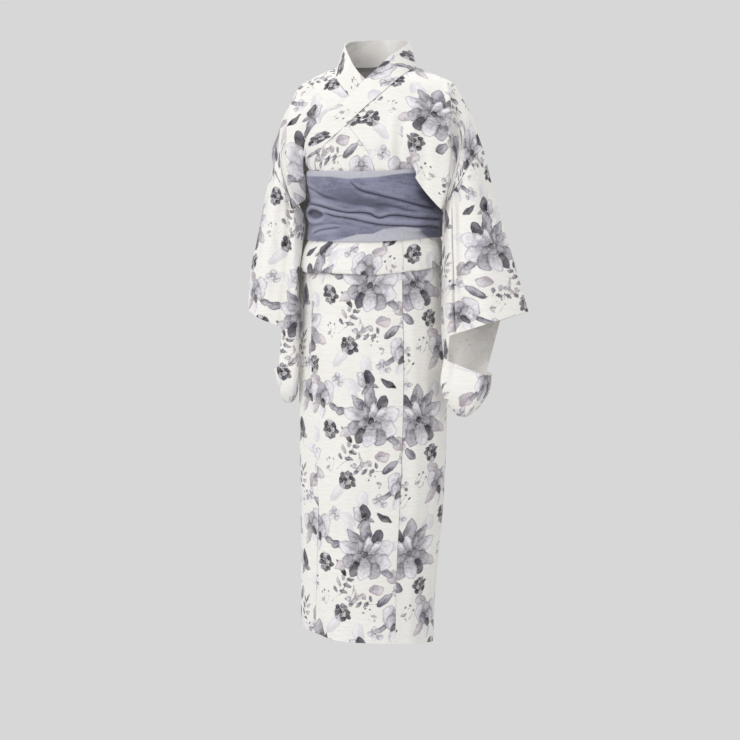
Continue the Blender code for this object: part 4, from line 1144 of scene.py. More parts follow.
def tuck_points(angle, side, front):
    """Rows of the tuck at given angles, one column for each, from under the sash round its lower fold."""
    share, stand_off, over_skirt = np.array(TUCK, float).T[:, :, None]
    lap = left_lap(angle) if side == "left" and front else 0.0
    turn = angle * SIGNS[side]
    height = TUCK_TOP + (tuck_bottom(turn) - TUCK_TOP) * share
    return on_body(turn, height, stand_off + skirt_lap(turn) * over_skirt + lap)


def facing_out(grid, present, centre):
    """Unit normals of a grid of points [row, column] from its present cells, on the side away from centre."""
    rows, columns = grid.shape[:2]
    column = np.arange(present.shape[1])
    beside = (column + 1) % columns
    face = np.cross(grid[1:, beside] - grid[:-1, column], grid[1:, column] - grid[:-1, beside])
    face[~present] = 0
    normal = np.zeros(grid.shape)
    for down in (0, 1):
        for columns_met in (column, beside):
            normal[down : rows - 1 + down, columns_met] += face
    normal /= np.maximum(np.linalg.norm(normal, axis=-1, keepdims=True), 1e-9)
    out = (normal * (grid - np.asarray(centre, float))).sum()
    return normal if out > 0 else -normal


def leaf_depth(x, y, half_length, half_width):
    """Depth inside a leaf along y: the overlap of two discs whose edges cross at its points."""
    radius = (half_length**2 + half_width**2) / (2 * half_width)
    offset = radius - half_width
    x, y = np.abs(x), np.abs(y)
    near_point = (y - half_length) * offset > x * half_length
    return np.where(near_point, -np.hypot(x, y - half_length), radius - np.hypot(x + offset, y))


def oval_depth(x, y, half_length, half_width):
    """Depth inside an oval along y: its unit radius, scaled back by the slope of that radius."""
    unit = np.hypot(x / half_width, y / half_length)
    slope = np.hypot(x / half_width**2, y / half_length**2)
    return unit * (1 - unit) / np.maximum(slope, 1e-6) * (unit > 1e-4) + half_width * (unit <= 1e-4)


def stroke_depth(x, y, start_x, start_y, end_x, end_y, bend, half_width):
    """Depth inside a stroke: half its width less the distance to its bowed middle line."""
    along_x, along_y = end_x - start_x, end_y - start_y
    length = math.hypot(along_x, along_y)
    share = np.clip(((x - start_x) * along_x + (y - start_y) * along_y) / length**2, 0, 1)
    bow = 4 * bend * share * (1 - share) / length
    away_x = x - start_x - along_x * share + along_y * bow
    away_y = y - start_y - along_y * share - along_x * bow
    return half_width - np.hypot(away_x, away_y)


def turned(x, y, degrees):
    """Coordinates along axes that are turned by an angle."""
    turn = math.radians(degrees)
    return x * math.cos(turn) + y * math.sin(turn), -x * math.sin(turn) + y * math.cos(turn)


def draw_motif(motif, x, y, size, depth, flow):
    """Draws a motif into the depths inside each tone, each shape over the earlier ones, and into the flow."""
    for form, tone, shape_x, shape_y, shape_turn, half_length, half_width in MOTIF_SHAPES[motif]:
        local_x, local_y = turned(x - shape_x, y - shape_y, shape_turn)
        shape = leaf_depth if form == "leaf" else oval_depth
        inside = shape(local_x, local_y, half_length, half_width) * size
        for other in TONES:
            depth[other] = np.minimum(depth[other], -inside)
        depth[tone] = np.maximum(depth[tone], inside)
        if tone in OUTLINED:
            depth["line"] = np.maximum(depth["line"], OUTLINE - np.abs(inside))
        middle = math.hypot(shape_x, shape_y)
        towards = (x - shape_x) * shape_x + (y - shape_y) * shape_y
        run = towards / (middle * half_length) if middle > CENTRAL else -local_y / half_length
        halves = LEAF_HALVES * np.tanh(local_x / LEAF_MIDRIB) if form == "leaf" else 0.0
        flow[:] = np.where(inside > -FLOW_BEYOND, np.clip(0.5 + 0.5 * run + halves, 0, 1), flow)
    for tone, *stroke in MOTIF_STROKES.get(motif, ()):
        depth[tone] = np.maximum(depth[tone], stroke_depth(x, y, *stroke) * size)


def print_tile():
    """Depths inside each tone for one repeat on a net of 1 mm, limited to what the inks need.

    The last value rises from 0 at a shape's base, next to the middle of its motif, to 1 at its tip.
    """
    across, down = np.meshgrid(np.arange(REPEAT[0]), np.arange(REPEAT[1]))
    turn_x, turn_y = across / REPEAT[0] * 2 * math.pi, down / REPEAT[1] * 2 * math.pi
    for waves_x, waves_y, height in WOBBLE:
        across = across + height * np.sin(waves_y * turn_y + waves_x)
        down = down + height * np.sin(waves_x * turn_x + waves_y)
    depth = {tone: np.full(across.shape, -NO_SHAPE) for tone in TONES}
    flow = np.full(across.shape, 0.5)
    for motif, places in MOTIFS.items():
        for at_x, at_y, turn, size in places:
            x = (across - at_x + REPEAT[0] / 2) % REPEAT[0] - REPEAT[0] / 2
            y = (down - at_y + REPEAT[1] / 2) % REPEAT[1] - REPEAT[1] / 2
            x, y = turned(x / abs(size), y / abs(size), turn)
            draw_motif(motif, x * math.copysign(1, size), y, abs(size), depth, flow)
    return np.stack([np.clip(depth[tone], -DEPTH_LIMIT, DEPTH_LIMIT) for tone in TONES] + [flow], axis=-1)


def sampled(tile, across, down):
    """Values of the repeated tile at places on the cloth, straight between its points."""
    rows, columns = tile.shape[:2]
    across, down = across % columns, down % rows
    column, row = np.floor(across).astype(int), np.floor(down).astype(int)
    share_x, share_y = (across - column)[..., None], (down - row)[..., None]
    beside, below = (column + 1) % columns, (row + 1) % rows
    column, row = column % columns, row % rows
    upper = tile[row, column] * (1 - share_x) + tile[row, beside] * share_x
    lower = tile[below, column] * (1 - share_x) + tile[below, beside] * share_x
    return upper * (1 - share_y) + lower * share_y


def mirrored(grid, side):
    """Points on the given side: the tables describe the left one."""
    return np.asarray(grid) * np.array([SIGNS[side], 1.0, 1.0])


def overlap_seam_x(heights):
    """How far beside the middle the overlap seam is at heights."""
    return on_body(by_height(heights, OVERLAP_SEAM)[:, 0], np.asarray(heights, float))[:, 0]


def row_heights():
    """Heights of the rows of a front below the point of the overlap panel, down to the sash."""
    return curve(OVERLAP_STATIONS, SEAM)[:, 1]


def front_edge():
    """Inner edge of a body panel in front: the collar seam, then the overlap seam."""
    heights = row_heights()
    on_overlap = points(overlap_seam_x(heights) + SEAM_GAP / 2, 0, heights)
    return np.concatenate([panel_edge_at_collar(BODY_STATIONS), on_overlap])


def back_edge():
    """Inner edge of a body panel behind: the collar seam, then the centre back."""
    on_collar = panel_edge_at_collar(NAPE_STATIONS)
    on_collar[-1, 0] = SEAM_GAP / 2
    spine = points(SEAM_GAP / 2, 0, np.array(SPINE_HEIGHTS, float))
    return np.concatenate([on_collar, spine])


def turned_in_edge(fold_z):
    """The free edge of the right front, turned in and back beside the sash, at heights of the outer fold."""
    z = HANG_TOP["right", False] * (1 - TURNED_IN_REACH) + fold_z * TURNED_IN_REACH
    half, front, _back, centre = straight(z, CLOSE_FORM).T
    share = TURNED_IN_DEPTH / (front + TURNED_IN_CLEARANCE)
    x = SIGNS["right"] * centre + (half + TURNED_IN_CLEARANCE) * np.sqrt(1 - share**2)
    return points(x, TURNED_IN_DEPTH, z)


def chest_points(side, back):
    """Rows of a body panel from the shoulder to the sash, from its inner edge to the armhole seam."""
    edge = back_edge() if back else front_edge()
    on_collar = len(NAPE_STATIONS) if back else len(BODY_STATIONS)
    fraction = np.linspace(0, 1, len(edge))
    fold_x, fold_z = curve(fraction, BACK_FOLD if back else FRONT_FOLD).T[:, :, None]
    share = np.array(PANEL_SHARES)[None, :]
    start = PANEL_SHARES[LAST_TUCKED[side, back]]
    hanging = np.clip((share - start) / (1 - start), 0, 1)
    free_from = np.interp(-HANG_TOP[side, back], -edge[:, 2], fraction)
    bend = np.clip((fraction / free_from) ** 2, 0, 1)[:, None]
    share_z = share * (1 - bend) + hanging**HANG_SAG * bend
    x = edge[:, :1] * (1 - share) + fold_x * share
    top = np.where(hanging > 0, np.maximum(edge[:, 2:], HANG_TOP[side, back]), edge[:, 2:])
    z = top * (1 - share_z) + fold_z * share_z
    loose = smoothstep((x - LOOSE_FROM[side, back]) / LOOSE_WIDTH) * (1 - bend) + (hanging > 0) * bend
    sheet = on_sheet(x, z, loose, back)
    if side == "right" and not back:
        turned_in = smoothstep((bend - TURNED_IN_FROM) / (1 - TURNED_IN_FROM))
        column = LAST_TUCKED[side, back] + 1
        sheet[:, column] = sheet[:, column] * (1 - turned_in) + turned_in_edge(fold_z[:, 0]) * turned_in
    sheet[:on_collar, 0] = edge[:on_collar]
    sheet[0, 1:, 1] = 0
    wing = curve(fraction, BACK_WING if back else FRONT_WING).reshape(-1, 2, 3)
    seam = armhole_points(fraction, back)[:, None]
    middle = (wing[:, 1:] + seam) / 2
    middle[:, :, 1] *= WING_SWELL
    return np.concatenate([sheet, wing, middle, seam], axis=1)


def armhole_points(fraction, back):
    """Points of the armhole seam: 0 at the top of the sleeve, 1 at the lower front or back end."""
    return curve(0.5 + 0.5 * fraction if back else 0.5 - 0.5 * fraction, ARMHOLE)


def tuck_angles(side, back):
    """Angles of a body panel's columns in the tuck."""
    last = LAST_TUCKED[side, back]
    edge_angle = OVERLAP_SEAM[-1][1]
    hang_angle = TUCKED_ANGLE
    fold_share = FOLD_SHARE
    if side == "right" and not back:
        hang_angle = TUCKED_ANGLE_RIGHT
        fold_share = FOLD_SHARE_RIGHT
    if back:
        hang_angle = 180 - TUCKED_BEHIND * hang_angle
        edge_angle = 180.0
    shares = np.array(PANEL_SHARES)
    under = np.clip(shares / shares[last], 0, 1)
    beyond = np.clip((shares - shares[last]) / (1 - shares[last]), 0, 1) * fold_share
    beyond = np.append(beyond, np.linspace(beyond[-1], 1, WING_COLUMNS + 1)[1:])
    angle = np.append(edge_angle * (1 - under) + hang_angle * under, np.full(WING_COLUMNS, hang_angle))
    return angle * (1 - beyond) + SIDE_SEAM * beyond


def side_seam_shift(side, back):
    """Half the side seam's gap, away from the other half of the panel."""
    turn = math.radians(SIDE_SEAM)
    towards_back = np.array([SIGNS[side] * math.cos(turn), math.sin(turn), 0.0])
    return towards_back * (SEAM_GAP / 2 if back else -SEAM_GAP / 2)


def panel_half(side, back):
    """Half a body panel above the sash: points, cells, and where its cloth beyond the tuck comes apart."""
    net = chest_points(side, back)
    if side == "left" and not back:
        across = np.append(np.ones(len(PANEL_SHARES)), (0.5, 0, 0, 0))
        net = raised(net, station_lift(BODY_STATIONS + OVERLAP_STATIONS)[:, None] * across)
    edge = back_edge() if back else front_edge()
    present = np.ones((len(net) - 1, net.shape[1] - 1), bool)
    present[:, LAST_TUCKED[side, back]] = edge[1:, 2] > HANG_TOP[side, back]
    fraction = np.linspace(0, 1, len(edge))
    free_from = np.interp(-HANG_TOP[side, back], -edge[:, 2], fraction)
    apart = smoothstep((fraction / free_from - JOINED_TO) / (1 - JOINED_TO))
    return mirrored(net, side), present, apart


def section_points(section, spread):
    """The points of one sleeve section, from the front open edge round the outside to the back one."""
    z_in, z_out, x_in, x_fold, x_out, middle, front, valley, back = section
    valley_x, front_x, back_x = x_fold + np.array(spread) * (x_out - x_fold)
    edge_front, curve_front, curve_back, edge_back = SECTION_DEPTHS
    plan = (
        (x_in, -edge_front * front),
        (x_fold, -front),
        (valley_x, -valley),
        (front_x, -curve_front * front),
        (x_out, 0),
        (back_x, curve_back * back),
        (x_fold, back),
        (x_in, edge_back * back),
    )
    x, y = np.array(plan).T
    return points(x, middle + y, z_in + (z_out - z_in) * (x - x_in) / (x_out - x_in))


def clear_of_body(grid, side):
    """Points of a sleeve, with x outwards, moved out to stay clear of the skirt, the tuck and the sash."""
    x, y, z = np.moveaxis(grid, -1, 0)
    half, front, back, centre = np.moveaxis(straight(z, CLOSE_FORM), -1, 0)
    clear = straight(-z, [(-row[0], row[1]) for row in SLEEVE_CLEARANCE])[..., 0]
    depth = np.where(y < 0, front, back) + clear
    reach = SIGNS[side] * centre + (half + clear) * np.sqrt(np.clip(1 - (y / depth) ** 2, 0, 1))
    return points(np.where(z < CLEAR_BELOW, np.maximum(x, reach), x), y, z)


def sleeve_shares():
    """Shares round the sleeve: one for each row of the body panel at the armhole, front and back."""
    front = 0.5 * np.linspace(0, 1, len(BODY_STATIONS) + len(OVERLAP_STATIONS))
    back = 0.5 + 0.5 * np.linspace(0, 1, len(NAPE_STATIONS) + len(SPINE_HEIGHTS))
    return np.concatenate([front, back[1:]])


def sash_lift(angle, height):
    """How far the sash's folds and flared edges stand off its flat form."""
    lift = straight(-height, [(-row[0], row[1]) for row in SASH_FLARE])[..., 0]
    from_knot = np.abs((angle % 360) - 180)
    lift = lift * smoothstep((from_knot - KNOT_FLAT[0]) / KNOT_FLAT[1])
    for start, end, start_height, end_height, depth, width in SASH_FOLDS:
        along = ((angle - start) % 360) / (end - start)
        fade = smoothstep(along * 6) * smoothstep((1 - along) * 6) * (along < 1)
        above = height - (start_height + (end_height - start_height) * along)
        ridge = bell((above - width) / width) + 0.5 * bell((above + width) / width)
        lift = np.maximum(lift, depth * ridge * fade)
    return lift


def knot_middle():
    """The centre of the knot, just behind the sash."""
    on_sash = on_body(180.0, KNOT_HEIGHT, SASH_STAND_OFF + SASH_CLOTH)
    return on_sash + (0, SEAM_GAP + KNOT_SIZE[1] / 2, 0)


def along(net, at):
    """A net's rows at other row numbers: cubic curves down each column."""
    table = np.concatenate([np.arange(len(net))[:, None], net.reshape(len(net), -1)], axis=1)
    return curve(at, table).reshape(len(at), *net.shape[1:])


def steps(net, axis):
    """Numbers of the finer rows or columns: each step of the net in even parts of about the spacing."""
    length = np.linalg.norm(np.diff(net, axis=axis), axis=-1).mean(axis=1 - axis)
    parts = np.maximum(np.ceil(length / SPACING), 1).astype(int)
    inner = [start + np.arange(count) / count for start, count in enumerate(parts)]
    return np.concatenate([*inner, [len(parts)]])


def finer(net, row_at, column_at, split=None):
    """A finer net on curves through the rows and columns; columns beyond split are curved apart from it."""
    columns = along(net, row_at).swapaxes(0, 1)
    if split is None:
        return along(columns, column_at).swapaxes(0, 1)
    near = along(columns[: split + 1], np.clip(column_at, 0, split))
    far = along(columns[split + 1 :], np.clip(column_at - split - 1, 0, None))
    share = np.clip(column_at - split, 0, 1)[:, None, None]
    return (near * (1 - share) + far * share).swapaxes(0, 1)


def fine_net(net):
    """A net made finer, with the numbers of its finer rows and columns."""
    row_at, column_at = steps(net, 0), steps(net, 1)
    return finer(net, row_at, column_at), row_at, column_at


def folds(across, z, table, millimetres=1.0):
    """Heights of folds: a bell across each line, fading at its ends; places across are in table units."""
    height = np.zeros(np.broadcast(across, z).shape)
    for start, start_z, end, end_z, fold_height, half_width in table:
        run, drop = (end - start) * millimetres, end_z - start_z
        length = math.hypot(run, drop)
        x = (across - start) * millimetres
        along_it = (x * run + (z - start_z) * drop) / length**2
        beside = (x * drop - (z - start_z) * run) / length
        from_start, from_end = (share / (2 * FOLD_ENDS) + 0.5 for share in (along_it, 1 - along_it))
        fade = smoothstep(from_start) * smoothstep(from_end)
        height = height + fold_height * fade * bell(beside / half_width)
    return height


def arc(grid, axis, level=False):
    """Lengths along the rows (1) or columns (0) of a net from its first point, level ones without height."""
    step = np.linalg.norm(np.diff(grid, axis=axis)[..., : 2 if level else 3], axis=-1)
    start = np.zeros_like(np.take(step, [0], axis=axis))
    return np.cumsum(np.concatenate([start, step], axis=axis), axis=axis)


class Part:
    """One stretch of a piece: its net, its cells, where it is on the flat cloth, and its free edges."""

    def __init__(self, grid, across, down, centre, present=None, ring=False, **marks):
        self.grid, self.centre, self.ring = grid, centre, ring
        rows, columns = grid.shape[:2]
        if present is None:
            present = np.ones((rows - 1, columns if ring else columns - 1), bool)
        self.present = present
        self.normal = facing_out(grid, present, centre)
        self.across = np.broadcast_to(across, (rows, columns)).astype(float)
        self.down = np.broadcast_to(down, (rows, columns)).astype(float)
        marked = [marks.get("hem", NO_HEM)] + [marks.get(name, 0.0) for name in ("sheer", "painted_crease_shade", "tone")]
        self.marks = np.stack([np.broadcast_to(value, (rows, columns)).ravel() for value in marked], 1)

    def raise_by(self, height):
        """Moves the net along its normals."""
        self.grid = self.grid + self.normal * np.asarray(height)[..., None]
        self.normal = facing_out(self.grid, self.present, self.centre)

    def shell(self, faces_at):
        """Corners and faces of the closed shell between two distances from the net."""
        rows, columns = self.grid.shape[:2]
        count = rows * columns
        corners = np.concatenate([(self.grid + self.normal * at).reshape(-1, 3) for at in faces_at[::-1]])
        row, column = np.argwhere(self.present).T
        beside = (column + 1) % columns
        a, b = row * columns + column, row * columns + beside
        c, d = (row + 1) * columns + beside, (row + 1) * columns + column
        faces = [np.stack([a, b, c, d], 1), np.stack([c, b, a, d], 1) + count]
        there = np.pad(self.present, 1)
        if self.ring:
            there[:, 0], there[:, -1] = there[:, -2], there[:, 1]
        for down, along_row, start, end in ((-1, 0, b, a), (0, 1, c, b), (1, 0, d, c), (0, -1, a, d)):
            open_side = ~there[row + 1 + down, column + 1 + along_row]
            start, end = start[open_side], end[open_side]
            faces.append(np.stack([start, end, end + count, start + count], 1))
        faces = np.concatenate(faces)
        some = slice(SAMPLE_FACES)
        at_a, at_b, at_d = (self.grid.reshape(-1, 3)[corner[some]] for corner in (a, b, d))
        turned_in = (np.cross(at_b - at_a, at_d - at_a) * self.normal.reshape(-1, 3)[a[some]]).sum() < 0
        return corners, faces[:, ::-1] if turned_in else faces


def add_piece(name, nodes, parts, faces_at, material, slot, tile, start):
    """A mesh object of one piece, made of its parts, in place of its CAD nodes; its print begins at start."""
    corners, faces, places, marks, base = [], [], [], [], 0
    for part in parts:
        part_corners, part_faces = part.shell(faces_at)
        corners.append(part_corners)
        faces.append(part_faces + base)
        base += len(part_corners)
        place = np.stack([part.across, part.down], -1).reshape(-1, 2)
        places.append(np.concatenate([place, place]))
        inner = np.repeat([[0.0], [1.0]], len(place), axis=0)
        marks.append(np.concatenate([np.tile(part.marks, (2, 1)), inner], axis=1))
    used, faces = np.unique(np.concatenate(faces), return_inverse=True)
    faces = faces.reshape(-1, 4)
    corners, places, marks = (np.concatenate(values)[used] for values in (corners, places, marks))
    mesh = bpy.data.meshes.new(name)
    mesh.vertices.add(len(corners))
    mesh.vertices.foreach_set("co", (corners * MM).ravel())
    mesh.loops.add(faces.size)
    mesh.loops.foreach_set("vertex_index", faces.ravel())
    mesh.polygons.add(len(faces))
    mesh.polygons.foreach_set("loop_start", np.arange(0, faces.size, 4))
    mesh.update(calc_edges=True)
    mesh.uv_layers.new(name="cloth").uv.foreach_set("vector", places[faces.ravel()].ravel())
    hem, sheer, painted_crease_shade, tone, inner = marks.T
    # Each attribute holds three numbers, so some are there twice
    values = {"marks": (hem, inner, sheer), "shade": (painted_crease_shade, tone, tone)}
    if start is not None:
        tones = sampled(tile, places[:, 0] + start[0], places[:, 1] + start[1]).T
        values.update({"ink_tones": tones[:3], "wash_tones": tones[3:6], "flow": tones[[6, 6, 6]]})
    for attribute_name, columns in values.items():
        layer = mesh.attributes.new(attribute_name, "FLOAT_VECTOR", "POINT")
        layer.data.foreach_set("vector", np.stack(columns, 1).ravel())
    mesh.shade_smooth()
    mesh.set_sharp_from_angle(angle=math.radians(SHARP_ANGLE))
    mesh.materials.append(material)
    piece = add_object(name, mesh)
    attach(piece, "root")
    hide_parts(*nodes)
    return piece


def on_panel(grid, side):
    """Places on the flat cloth of the fronts and backs: across is x, and down runs over the chest's curve."""
    x, y, z = np.moveaxis(grid, -1, 0)
    return SIGNS[side] * np.abs(x), CHEST_RUN * np.abs(y) - z


def chest_part(side):
    """A body panel above the sash: up the front, over the shoulder and down the back."""
    front, front_cells, front_apart = panel_half(side, False)
    rear, rear_cells, rear_apart = panel_half(side, True)
    net = np.concatenate([front[::-1], rear[1:]])
    coarse_cells = np.concatenate([front_cells[::-1], rear_cells])
    apart = np.concatenate([front_apart[::-1], rear_apart[1:]])
    joined, row_at, column_at = fine_net(net)
    split_front = finer(net, row_at, column_at, LAST_TUCKED[side, False])
    split_back = finer(net, row_at, column_at, LAST_TUCKED[side, True])
    in_front = (row_at < len(front) - 1)[:, None]
    weight = np.interp(row_at, np.arange(len(net)), apart)[:, None, None]
    grid = joined * (1 - weight) + np.where(in_front[..., None], split_front, split_back) * weight
    row = np.clip(row_at[:-1].astype(int), 0, len(net) - 2)
    column = np.clip(column_at[:-1].astype(int), 0, net.shape[1] - 2)
    present = coarse_cells[row[:, None], column[None, :]]
    fold = np.searchsorted(column_at, len(PANEL_SHARES) - 1)
    across, down = on_panel(grid[:, np.minimum(np.arange(len(column_at)), fold)], side)
    down = down * np.where(in_front, 1, -1)
    across[:, fold:] += SIGNS[side] * arc(grid[:, fold:], 1)
    part = Part(grid, across, down, mirrored(INSIDE_PANEL, side), present)
    x, y, z = np.moveaxis(grid, -1, 0)
    lift = FOLD_DEPTH * np.where(y < 0, folds(x, z, CHEST_FOLDS), folds(x, z, BACK_FOLDS))
    fades = (FOLD_FADE_INNER, FOLD_FADE_OUTER)
    inner, outer = (smoothstep((column_at - start) / over)[None, :] for start, over in fades)
    part.raise_by(lift * smoothstep(np.abs(y) / FOLD_FADE_DEPTH) * inner * (1 - outer))
    return part


def tuck_part(net, across):
    """A stretch of the tuck on a finer net, with its folds."""
    grid, row_at, _column_at = fine_net(net)
    part = Part(grid, across + arc(grid, 1), TUCK_START[1] + arc(grid, 0), INSIDE_TUCK)
    x, y, z = np.moveaxis(grid, -1, 0)
    angle = np.degrees(np.arctan2(x + TUCK_CENTRE, -y * TUCK_FLATNESS))
    lowest = TUCK_BOTTOM - sum(height for _waves, height in TUCK_WAVES)
    lift = folds(angle, z, TUCK_FOLDS, DEGREE) * smoothstep(row_at)[:, None]
    part.raise_by(lift * (z > lowest) * (row_at < len(TUCK) - 1)[:, None])
    return part


def tuck_net(angle, side, front):
    """Rows of the tuck and of the fold under its lower edge, where the cloth turns up behind itself."""
    rows = tuck_points(angle, side, front)
    lap = left_lap(angle) if side == "left" and front else 0.0
    turn = angle * SIGNS[side]
    lip = []
    for drop, stand_off in TUCK_LIP:
        lip.append(on_body(turn, tuck_bottom(turn) - drop, stand_off + skirt_lap(turn) + lap))
    net = np.concatenate([rows, lip])
    sag = np.interp(np.arange(len(net)), (2, len(TUCK) - 1), (0, 1))[:, None]
    net[..., 2] -= sag * tuck_wave(turn)
    return net


def tuck_wave(angle):
    """How the lower edge of the tuck rises and falls round the skirt."""
    return sum(height * np.sin(np.radians(angle * waves) + waves) for waves, height in TUCK_WAVES)


def body_parts(side):
    """A body panel: its chest and the tuck of its front and back."""
    parts = [chest_part(side)]
    for back in (False, True):
        net = tuck_net(tuck_angles(side, back), side, not back)
        net[:, 0, 0] += SIGNS[side] * SEAM_GAP / 2
        net[:, -1] += side_seam_shift(side, back)
        parts.append(tuck_part(net, TUCK_START[0]))
    return parts


def overlap_parts(side):
    """An overlap panel: its point on the chest and its part of the tuck."""
    share = np.linspace(0, 1, OVERLAP_COLUMNS)[None, :]
    stations = np.linspace(OVERLAP_STATIONS[0], OVERLAP_STATIONS[-1], OVERLAP_ROWS)
    from_angle, height = curve(stations, SEAM).T[:, :, None]
    angle = from_angle * (1 - share) + by_height(height[:, 0], OVERLAP_SEAM) * share
    net = on_body(angle, height)
    if side == "left":
        net = raised(net, LEFT_LAP)
    net[:, 0, 0] += SEAM_GAP
    net[:, -1, 0] -= SEAM_GAP / 2
    grid, _row_at, column_at = fine_net(mirrored(net, side))
    chest = Part(grid, *on_panel(grid, side), INSIDE_CHEST)
    lift = FOLD_DEPTH * folds(grid[..., 0], grid[..., 2], CHEST_FOLDS)
    chest.raise_by(lift * smoothstep(np.minimum(column_at, OVERLAP_COLUMNS - 1 - column_at))[None, :])
    bottom_angle = SEAM[-1][1] * (1 - share[0]) + OVERLAP_SEAM[-1][1] * share[0]
    tuck = tuck_net(bottom_angle, side, front=True)
    tuck[:, 0, 0] += SIGNS[side] * SEAM_GAP
    tuck[:, -1, 0] -= SIGNS[side] * SEAM_GAP / 2
    return [chest, tuck_part(tuck, 0.0)]


def collar_parts():
    """The collar: the band round the neck down to the sash, and its two ends in the tuck."""
    stations = sorted(set(NAPE_STATIONS) | set(BODY_STATIONS) | set(OVERLAP_STATIONS))
    shares = np.array([SEAM_GAP / 100, 1 / 3, 2 / 3, 1])
    standing = 1 - smoothstep((np.array(stations) - LYING_FROM) / LYING_OVER)
    halves, ends = [], []
    for side in SIGNS:
        half = np.stack([collar_points(stations, share) for share in shares], axis=1)
        half[:, 0] -= (half[:, 1] - half[:, 0]) * (COLLAR_ALLOWANCE * standing)[:, None]
        half[0, :, 0] = 0
        if side == "left":
            half = raised(half, station_lift(stations)[:, None])
        halves.append(mirrored(half, side))
        bottom = SEAM[-1][1] * (1 - shares) + COLLAR_EDGE_ON_CHEST[-1][1] * shares
        ends.append(tuck_net(bottom, side, front=True)[: len(TUCK) - 1])
    grid, _row_at, column_at = fine_net(np.concatenate([halves[0][::-1], halves[1][1:]]))
    hem = (len(shares) - 1 - column_at)[None, :] * COLLAR_THIRD
    parts = [Part(grid, arc(grid, 1), arc(grid, 0), INSIDE_NECK, hem=hem)]
    for end in ends:
        grid = fine_net(end)[0]
        parts.append(Part(grid, arc(grid, 1), COLLAR_END + arc(grid, 0), INSIDE_CHEST))
    return parts


def skirt_part(side, from_angle, to_angle, columns, free_edge=False):
    """A skirt panel between two angles for each of its heights, with its folds."""
    heights = np.array(SKIRT_HEIGHTS, float)
    share = np.linspace(0, 1, columns)[None, :]
    start, end = (np.broadcast_to(angle, heights.shape)[:, None] for angle in (from_angle, to_angle))
    half_gap = math.degrees(SEAM_GAP / 2 / SKIRT_RADIUS)
    towards = np.sign(end - start)
    angle = (start + towards * half_gap) * (1 - share) + (end - towards * half_gap) * share
    height = np.repeat(heights[:, None], columns, axis=1)
    height[-1] = straight(angle[-1], HEM)[:, 0]
    under = skirt_lap(angle)
    lap = under if side == "left" else np.zeros(angle.shape)
    share = (TUCK_TOP - SKIRT_TOP) / (TUCK_TOP - tuck_bottom(angle[0]))
    flare = straight(share, [row[:2] for row in TUCK])[..., 0] - CLOTH - TUCK_GAP
    lap[0] += flare if side == "left" else flare * (1 - under[0] / SKIRT_LAP)
    net = np.concatenate([on_body(angle, height, lap), angle[..., None]], axis=-1)
    row_at, column_at = steps(net[..., :3], 0), steps(net[..., :3], 1)
    fine = finer(net, row_at, column_at)
    grid, angle = fine[..., :3], fine[..., 3]
    across = arc(grid, 1, level=True)
    hem = grid[..., 2] - grid[-1:, :, 2]
    if free_edge:
        hem = np.minimum(hem, across[:, -1:] - across)
    part = Part(grid, across, -grid[..., 2], INSIDE_SKIRT, hem=hem)
    z = grid[..., 2]
    lift = folds(angle, z, SKIRT_FOLDS, DEGREE) + folds(angle - 360, z, SKIRT_FOLDS, DEGREE)
    part.raise_by(lift * smoothstep((TUCK_BOTTOM_BEHIND - SKIRT_FOLDS_BELOW - z) / SKIRT_FOLDS_OVER))
    return part


def sleeve_part(side):
    """A sleeve: from the armhole seam down to the cuff, and its pouch below the mouth."""
    sections, pouch = SLEEVES[side]
    shares = sleeve_shares()
    net = [curve(shares, ARMHOLE)]
    for section in sections + pouch:
        spread = SLEEVE_SPREAD if section in sections else POUCH_SPREAD
        table = np.concatenate([np.array(SECTION_SHARES)[:, None], section_points(section, spread)], axis=1)
        net.append(curve(shares, table))
    net = np.array(net)
    gap = ARMHOLE_GAP[0] + (ARMHOLE_GAP[1] - ARMHOLE_GAP[0]) * (2 * shares[:, None] - 1) ** 2
    net[0] += (net[1] - net[0]) / np.linalg.norm(net[1] - net[0], axis=-1, keepdims=True) * gap
    net = clear_of_body(net, side)
    cuff = len(sections)
    upper, lower = net[: cuff + 1], net[cuff + 1 :]
    column_at = steps(net, 1)
    row_at, low_at = steps(upper, 0), steps(lower, 0)
    sleeve, pouch_grid = finer(upper, row_at, column_at), finer(lower, low_at, column_at)
    ends = np.stack([sleeve[-1], pouch_grid[0]])
    between = steps(ends, 0)[1:-1]
    beside_mouth = ends[0] + (ends[1] - ends[0]) * between[:, None, None]
    grid = clear_of_body(np.concatenate([sleeve, beside_mouth, pouch_grid]), side)
    share = np.interp(column_at, np.arange(len(shares)), shares)
    present = np.ones((len(grid) - 1, len(share) - 1), bool)
    mouth_start, mouth_end = MOUTH[side]
    open_cells = (share[:-1] > mouth_start - SHARE_MARGIN) & (share[1:] < mouth_end + SHARE_MARGIN)
    present[len(row_at) - 1 : len(row_at) + len(between), open_cells] = False
    grid = mirrored(grid, side)
    across = arc(grid[[len(row_at) // 2]], 1, level=True)
    fallen = SLEEVE_RUN * (grid[..., 2].max() - grid[..., 2])
    part = Part(grid, across, fallen, mirrored(INSIDE_SLEEVE, side), present)
    lift = folds(share[None, :], grid[..., 2], SLEEVE_FOLDS + SLEEVE_CREASES[side], SLEEVE_ROUND)
    from_edges = smoothstep(share / SLEEVE_FADE_SHARE) * smoothstep((1 - share) / SLEEVE_FADE_SHARE)
    part.raise_by(lift * smoothstep(arc(grid, 0) / SLEEVE_FADE_DOWN) * from_edges)
    return part


